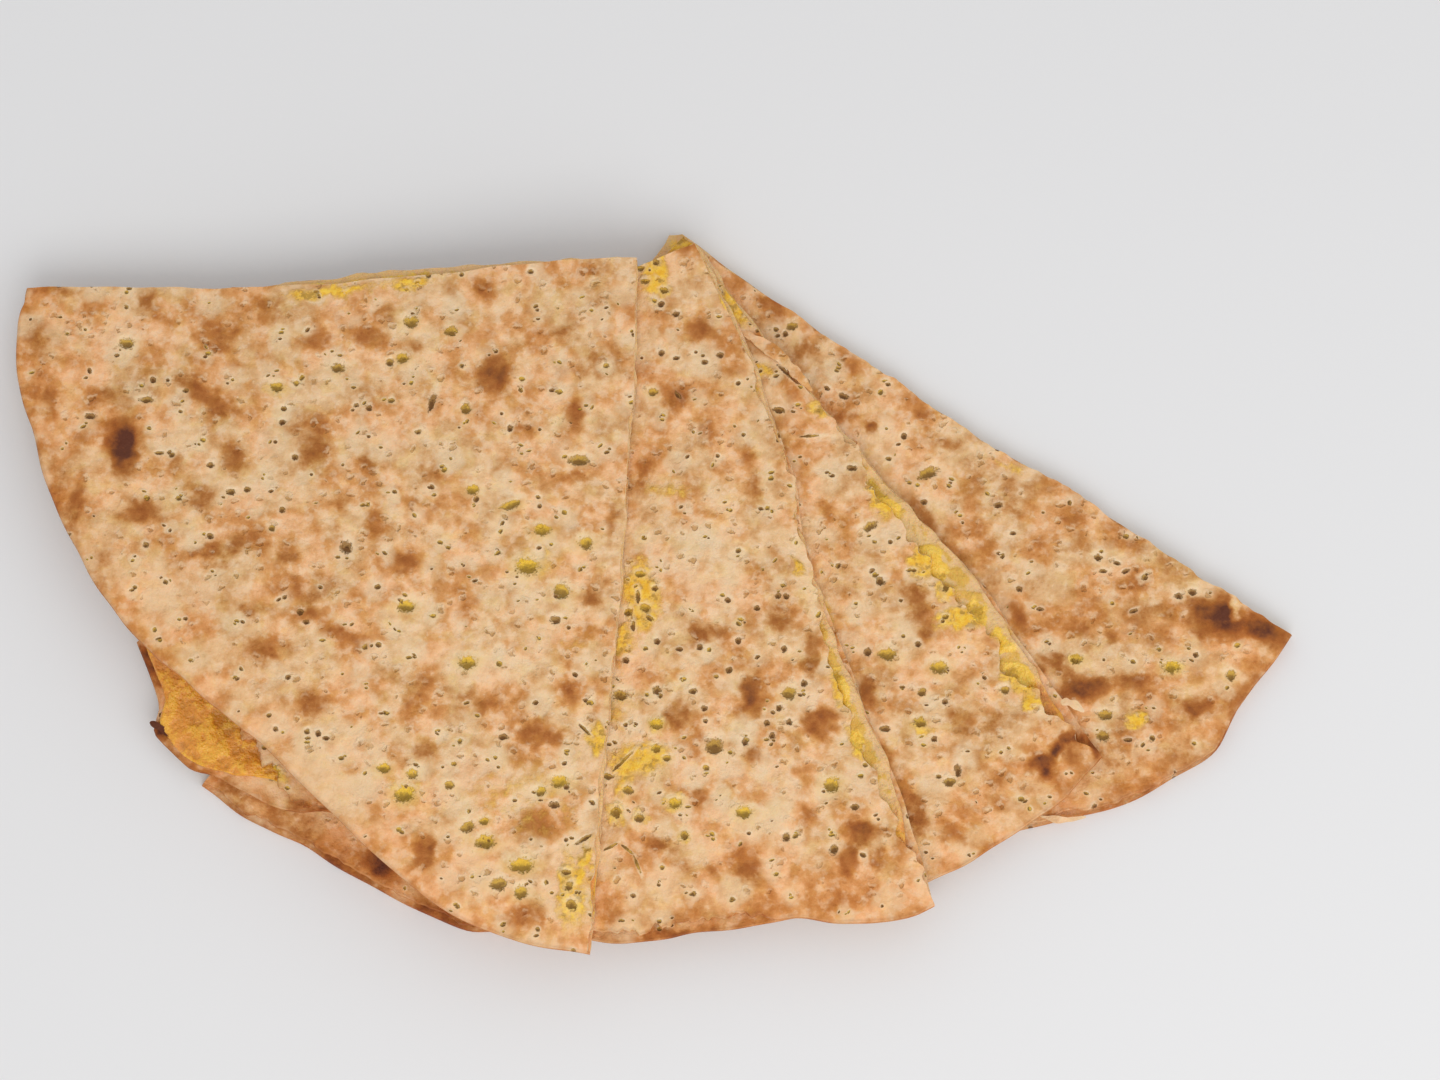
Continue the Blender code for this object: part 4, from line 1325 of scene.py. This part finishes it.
class BreadFinish(Finish):
    """Baked bread: cream to peach, with toasted places, oil, holes with pale rings, and a crumb, and
    painted highlights and painted shade at holes, knobs, pocks and crevices.
    """

    def __init__(self, name, bread):
        super().__init__(name)
        self.bread = bread
        self.toasted, self.oily, bubbly = self.parts("mark")
        self.hole_x, self.hole_y, self.filled = self.parts("hole")
        self.to_crust = self.parts("edge")[1]
        self.blotch = self.noise(17 * MM)
        self.patch = self.noise(8.5 * MM, 2, 0.55)
        self.mottle = self.noise(4.2 * MM, 3, 0.6)
        self.fine = self.noise(1.5 * MM, 3, 0.65)
        self.pores = self.noise(0.6 * MM)
        self.chunk = self.noise(3.2 * MM, 3, 0.62, (0.9, 0.2, 0.4))
        self.cloud = self.patch.step(0.36, 0.64)
        self.pale = (bubbly + self.mottle.sway(0.9)).step(0.15, 0.75)
        color = self.vary(self.dough())
        color = self.pierce(self.speckle(self.stain(color)))
        self.set("Base Color", self.cut(color))
        self.set("Roughness", bread.roughness - self.oil * 0.3 - self.hole * self.filled * 0.3)
        self.set("Specular IOR Level", 0.25)
        self.soften(0.08, (0.004, 0.002, 0.001))
        self.raise_relief()

    def dough(self):
        """The colour of plain and toasted bread, by how far it is baked."""
        bread = self.bread
        dapple = self.mottle.step(0.34, 0.66)
        rim = (self.to_crust + self.mottle.sway(8)).step(8.0, 0.5)
        uneven = (
            self.noise(46 * MM).sway(0.2) + self.blotch.sway(0.34)
            + self.cloud.sway(0.17) + dapple.sway(0.18) + self.fine.sway(0.28)
        )
        calm = 1 - self.toasted.step(0.25, 0.8) * 0.6
        toasting = self.toasted * (0.61 + self.mottle.sway(0.25))
        self.level = 0.29 + uneven * calm + rim * 0.05 - self.pale * 0.1 + toasting
        return self.ramp(self.level, (
            (0.1, bread.cream), (0.36, bread.gold), (0.55, bread.tan), (0.78, bread.toast),
            (0.98, bread.scorch)))

    def vary(self, color):
        """Peachy, dull, yellow, pale and brown places of the dough."""
        hue = self.noise(13 * MM, moved=(0.3, 0.1, 0.7))
        small_hue = self.noise(5 * MM, moved=(0.5, 0.8, 0.2))
        flecks = self.noise(2.6 * MM, moved=(0.2, 0.6, 0.9))
        plain = self.level.step(0.72, 0.28)
        color = self.tint(hue.step(0.42, 0.62) * 0.6, color, PEACHY)
        color = self.mix(hue.step(0.54, 0.38) * plain * 0.4, color, self.bread.straw)
        color = self.tint(small_hue.step(0.5, 0.66) * 0.4, color, YELLOWED)
        color = self.mix(flecks.step(0.5, 0.66) * plain * 0.42, color, self.bread.fleck)
        color = self.tint(flecks.step(0.47, 0.32) * 0.46, color, BROWNED)
        color = self.mix(self.pale * self.level.step(0.75, 0.4) * 0.42, color, self.bread.pale)
        faded = (self.toasted + self.cloud.sway(0.15)).step(-0.05, -0.25)
        color = self.mix(faded * 0.35, color, self.bread.pale)
        rosy = (self.to_crust + self.blotch.sway(60)).step(40.0, 2.0)
        return self.tint(rosy * 0.7, color, ROSY)

    def stain(self, color):
        """Oil and cheese that show through the bread, with painted shade in the gaps between cheese crumbs.
        """
        bread = self.bread
        fine = self.fine
        seep = self.oily + self.patch.sway(0.9) + self.mottle.sway(1.3) + fine.sway(0.9)
        self.oil = seep.step(0.05, 0.75) * self.oily.step(0.02, 0.25)
        oiled = self.mix(fine.step(0.4, 0.6), bread.oiled, bread.oiled_light)
        curd = self.mix(fine.step(0.42, 0.62), bread.curd, bread.curd_light)
        cheesy = self.mix(seep.step(0.52, 0.86) * self.chunk.step(0.42, 0.54), oiled, curd)
        # Painted shade: darker between the chunks of oily cheese
        crevice_shade = (self.chunk + fine.sway(0.3)).step(0.46, 0.37) * self.oil
        cheesy = self.mix(crevice_shade * 0.75, cheesy, bread.crevice_shade)
        return self.mix(self.oil * 0.92, color, cheesy)

    def speckle(self, color):
        """Faint knobs and pocks, which are scattered evenly over plain bread, with a painted highlight on
        each knob's lit side and painted shade in each pock.
        """
        apart, beyond, number = self.cells(3.7 * MM)
        apart = apart + self.fine.sway(0.45)
        faint = number.step(0.2, 0.8) * self.toasted.step(0.7, 0.3)
        faint = faint * self.to_crust.step(3.0, 9.0)
        # Which side of a knob or pock faces the lamp, for the painted highlight and painted shade
        lit_side = (beyond + self.fine.sway(0.4)).step(-0.06, 0.14)
        self.knob = apart.step(0.52, 0.22) * faint
        self.pock = apart.step(0.3, 0.14) * faint * (1 - lit_side * 0.7)
        color = self.mix(self.knob * lit_side * 0.45, color, self.bread.knob)
        return self.tint(self.pock * 0.85, color, PIT_SHADE)

    def from_hole(self, lowered):
        """The distance from the hole's middle in half sizes, with a wobble."""
        wobble = self.fine.sway(1.5) + self.pores.sway(0.8)
        squares = self.hole_x * self.hole_x + (self.hole_y + lowered) ** 2.0
        return self.math("SQRT", squares) + wobble

    def pierce(self, color):
        """Holes, dark or filled with cheese, each in a pale ring, and the rim's dark line; the holes' dark
        insides, their lit and shaded sides and the rings' glints are painted light and shade.
        """
        bread = self.bread
        filled = self.filled
        distance = self.from_hole(0.0)
        untoasted = self.toasted.step(0.6, 0.2)
        self.ring = (distance + self.mottle.sway(1.5)).step(2.7, 1.0)
        self.hole = distance.step(1.2, 0.7)
        lip = self.mix(filled, bread.lip, bread.oily_lip)
        color = self.mix(self.ring * untoasted * (0.3 + filled * 0.15), color, lip)
        # Painted highlight: a bright crescent on the ring's far side
        glint = (self.hole_y + self.fine.sway(1.5)).step(0.2, 1.1)
        glint = self.ring * (1 - self.hole) * untoasted * glint
        color = self.mix(glint * 0.38, color, bread.glint)
        # Painted light and shade inside a filled hole, lit on its far side
        lit_side = (self.hole_y + self.fine.sway(1.8)).step(-0.5, 0.5)
        inside = self.mix(lit_side, bread.filling_shaded, bread.filling)
        # An empty hole is painted in shade
        inside = self.mix(filled, bread.hollow_shade, inside)
        color = self.mix(self.hole * 0.9, color, inside)
        # Painted shade on the near side of a filled hole
        shade = (self.hole_y + self.fine.sway(1.6)).step(0.1, -0.7) * self.hole
        color = self.mix(shade * filled * 0.5, color, bread.filling_shade)
        # Painted shade: the dark bottom of an empty hole, moved towards its near side
        core = self.from_hole(0.35).step(0.95, 0.35)
        color = self.mix(core * (1 - filled * 0.85) * 0.8, color, bread.core)
        return self.mix(self.to_crust.step(1.0, 0.1) * 0.2, color, bread.crust)

    def cut(self, color):
        """The crumb on the walls that a cut left bare, and crust on those that it didn't."""
        bread = self.bread
        crumb = self.mix(self.fine.step(0.4, 0.62) * 0.6, bread.crumb, bread.crumb_dark)
        crusty = self.vector_math("MULTIPLY", color, CRUSTY)
        wall = self.mix(self.to_crust.step(0.6, 0.2), crumb, crusty)
        return self.mix(self.parts("side")[0], color, wall)

    def raise_relief(self):
        """The small relief of dough, holes, knobs and melted cheese."""
        height = (
            self.blotch * 0.7 + self.patch * 0.7 + self.mottle * 0.62 + self.fine * 0.36
            + self.pores * 0.11 - self.hole * (0.5 - self.filled * 0.25) + self.ring * 0.12
            - self.pale * 0.15 + self.oil * self.chunk * 0.4 + self.knob * 0.2 - self.pock * 0.35
        )
        self.bump(height)


class CheeseFinish(Finish):
    """Melted cheese: bright and glossy, with painted highlights on its lumps and painted shade in its
    crevices, dull where oil soaked crumbs.
    """

    def __init__(self, name, cheese):
        super().__init__(name)
        self.cheese = cheese
        lump, bright, _ = self.parts("mark")
        self.to_cut, self.to_crust, _ = self.parts("edge")
        self.patch = self.noise(8 * MM, 2, 0.55)
        self.mottle = self.noise(4 * MM, 3, 0.6)
        self.fine = self.noise(1.3 * MM, 3, 0.6)
        lumpy = lump * 0.35 + self.mottle.sway(1.2) + self.fine.sway(0.35)
        # Painted shade where the lumps lie low
        self.deep = lumpy.step(-0.02, -0.26)
        lit = (bright + self.patch.sway(0.9) + self.mottle.sway(0.6)).step(0.25, 0.5)
        self.set("Base Color", self.brown(self.melted(lit)))
        self.set("Roughness", cheese.roughness + self.fine.sway(0.3) + (1 - lit) * 0.3)
        self.soften(0.2, (0.006, 0.003, 0.0008))
        self.bump(self.mottle * 1.8 + self.fine * 0.35)

    def melted(self, lit):
        """Bright cheese where it is lit, and dull, crumby cheese elsewhere."""
        cheese = self.cheese
        # Painted highlight where the mottle, which the bump also raises, is high
        color = self.mix(self.mottle.step(0.5, 0.68) * 0.6, cheese.bright, cheese.highlight)
        color = self.mix(self.deep, color, cheese.deep)
        dull = (self.patch + self.mottle.sway(0.8)).step(0.4, 0.6)
        return self.mix(lit, self.mix(dull, cheese.crumby, cheese.crumby_dark), color)

    def brown(self, color):
        """Crumbs along the cut edges, and cheese that the oven browned near the crust."""
        cheese = self.cheese
        ridge = (self.to_cut + self.mottle.sway(4) + self.fine.sway(1.5)).step(1.9, 0.8)
        color = self.mix(ridge * 0.75, color, cheese.ridge)
        orange = self.mix(self.mottle.step(0.46, 0.6), cheese.orange, cheese.orange_light)
        # Painted shade in the browned cheese's crevices
        orange = self.mix(self.deep * 0.55, orange, cheese.orange_shade)
        browned = self.to_crust + self.patch.sway(14) + self.mottle.sway(8)
        return self.mix(browned.step(26.0, 12.0) * 0.85, color, orange)


class TAMEES_OT_finishes(bpy.types.Operator):
    """Makes the finishes of bread and cheese"""

    bl_idname = "tamees.finishes"
    bl_label = "Make Finishes"

    def execute(self, context):
        BreadFinish(FINISHES["bread"], context.scene.tamees_bread)
        BreadFinish(FINISHES["toasted_bread"], context.scene.tamees_bread)
        CheeseFinish(FINISHES["cheddar"], context.scene.tamees_cheese)
        return {"FINISHED"}


class TAMEES_OT_lower_sheets(bpy.types.Operator):
    """Models the four lower sheets of bread"""

    bl_idname = "tamees.lower_sheets"
    bl_label = "Add Lower Sheets"

    def execute(self, context):
        for quarter in QUARTERS:
            model_lower_sheet(context, quarter)
        return {"FINISHED"}


class TAMEES_OT_cheese_layers(bpy.types.Operator):
    """Models the four layers of melted cheese"""

    bl_idname = "tamees.cheese_layers"
    bl_label = "Add Cheese"

    def execute(self, context):
        for quarter in QUARTERS:
            model_cheese(context, quarter)
        return {"FINISHED"}


class TAMEES_OT_upper_sheets(bpy.types.Operator):
    """Models the four blistered upper sheets of bread"""

    bl_idname = "tamees.upper_sheets"
    bl_label = "Add Upper Sheets"

    def execute(self, context):
        for quarter in QUARTERS:
            model_upper_sheet(context, quarter)
        return {"FINISHED"}


class TAMEES_OT_strips(bpy.types.Operator):
    """Models the loose strips and flakes of bread"""

    bl_idname = "tamees.strips"
    bl_label = "Add Loose Strips"

    def execute(self, context):
        for strip in STRIPS:
            model_strip(context, strip)
        return {"FINISHED"}


def add_floor(context, settings):
    """Lays a plain floor."""
    bpy.ops.object.select_all(action="DESELECT")
    bpy.ops.mesh.primitive_plane_add(size=FLOOR_SIZE)
    floor = context.object
    floor.name = "floor"
    finish = Finish("floor_finish")
    finish.set("Base Color", settings.floor_color)
    finish.set("Roughness", 0.85)
    floor.data.materials.append(finish.material)


def light_air(context, settings):
    """Lets soft light come from all around."""
    world = bpy.data.worlds.new("soft_surroundings")
    world.use_nodes = True
    background = world.node_tree.nodes["Background"]
    background.inputs["Color"].default_value = (*settings.air_color, 1)
    background.inputs["Strength"].default_value = settings.ambient
    context.scene.world = world
    context.scene.view_settings.view_transform = "Standard"


def add_lamp(context, settings, name, power, color, offset):
    """Hangs a square lamp that looks at the bread from an offset."""
    bpy.ops.object.light_add(type="AREA")
    lamp = context.object
    lamp.name = name
    lamp.data.energy = power
    lamp.data.size = settings.lamp_size
    lamp.data.color = color
    lamp.location = View(settings).target + Vector(offset)
    lamp.rotation_euler = (-Vector(offset)).to_track_quat("-Z", "Y").to_euler()


def add_camera(context, settings):
    """Puts the camera where the photograph was taken from."""
    view = View(settings)
    bpy.ops.object.camera_add()
    camera = context.object
    camera.name = "photo_camera"
    camera.data.lens = settings.lens
    camera.data.sensor_width = SENSOR_WIDTH
    camera.data.clip_start = 0.01
    camera.location = view.place
    camera.rotation_euler = Matrix((view.right, view.up, view.back)).transposed().to_euler()
    context.scene.camera = camera


class TAMEES_OT_stage(bpy.types.Operator):
    """Sets up the floor, the soft light and the camera"""

    bl_idname = "tamees.stage"
    bl_label = "Set Up Stage"

    def execute(self, context):
        settings = context.scene.tamees_stage
        add_floor(context, settings)
        light_air(context, settings)
        add_lamp(context, settings, "key_lamp", settings.key_power, settings.key_color, KEY_OFFSET)
        add_lamp(context, settings, "fill_lamp", settings.fill_power, settings.fill_color, FILL_OFFSET)
        add_camera(context, settings)
        return {"FINISHED"}


class TAMEES_PT_panel(bpy.types.Panel):
    """Lists the steps and settings of the model"""

    bl_label = "Cheese Tamees"
    bl_idname = "TAMEES_PT_panel"
    bl_space_type = "VIEW_3D"
    bl_region_type = "UI"
    bl_category = "Tamees"

    def draw(self, context):
        scene = context.scene
        for operator in STEPS:
            self.layout.operator(operator.bl_idname)
        for group in (scene.tamees_bread, scene.tamees_cheese, scene.tamees_stage):
            box = self.layout.box()
            for name in group.bl_rna.properties.keys():
                if name not in ("rna_type", "name"):
                    box.prop(group, name)


STEPS = (
    TAMEES_OT_finishes,
    TAMEES_OT_lower_sheets,
    TAMEES_OT_cheese_layers,
    TAMEES_OT_upper_sheets,
    TAMEES_OT_strips,
    TAMEES_OT_stage,
)
CLASSES = (BreadSettings, CheeseSettings, StageSettings, *STEPS, TAMEES_PT_panel)


def register():
    """Makes the settings, the operators and the panel known."""
    for made in CLASSES:
        bpy.utils.register_class(made)
    bpy.types.Scene.tamees_bread = PointerProperty(type=BreadSettings)
    bpy.types.Scene.tamees_cheese = PointerProperty(type=CheeseSettings)
    bpy.types.Scene.tamees_stage = PointerProperty(type=StageSettings)


def unregister():
    """Takes back all that register made known."""
    del bpy.types.Scene.tamees_stage
    del bpy.types.Scene.tamees_cheese
    del bpy.types.Scene.tamees_bread
    for made in reversed(CLASSES):
        bpy.utils.unregister_class(made)


def main():
    """Builds the model and its stage."""
    register()
    bpy.ops.tamees.finishes()
    bpy.ops.tamees.lower_sheets()
    bpy.ops.tamees.cheese_layers()
    bpy.ops.tamees.upper_sheets()
    bpy.ops.tamees.strips()
    bpy.ops.tamees.stage()


if __name__ == "__main__":
    main()
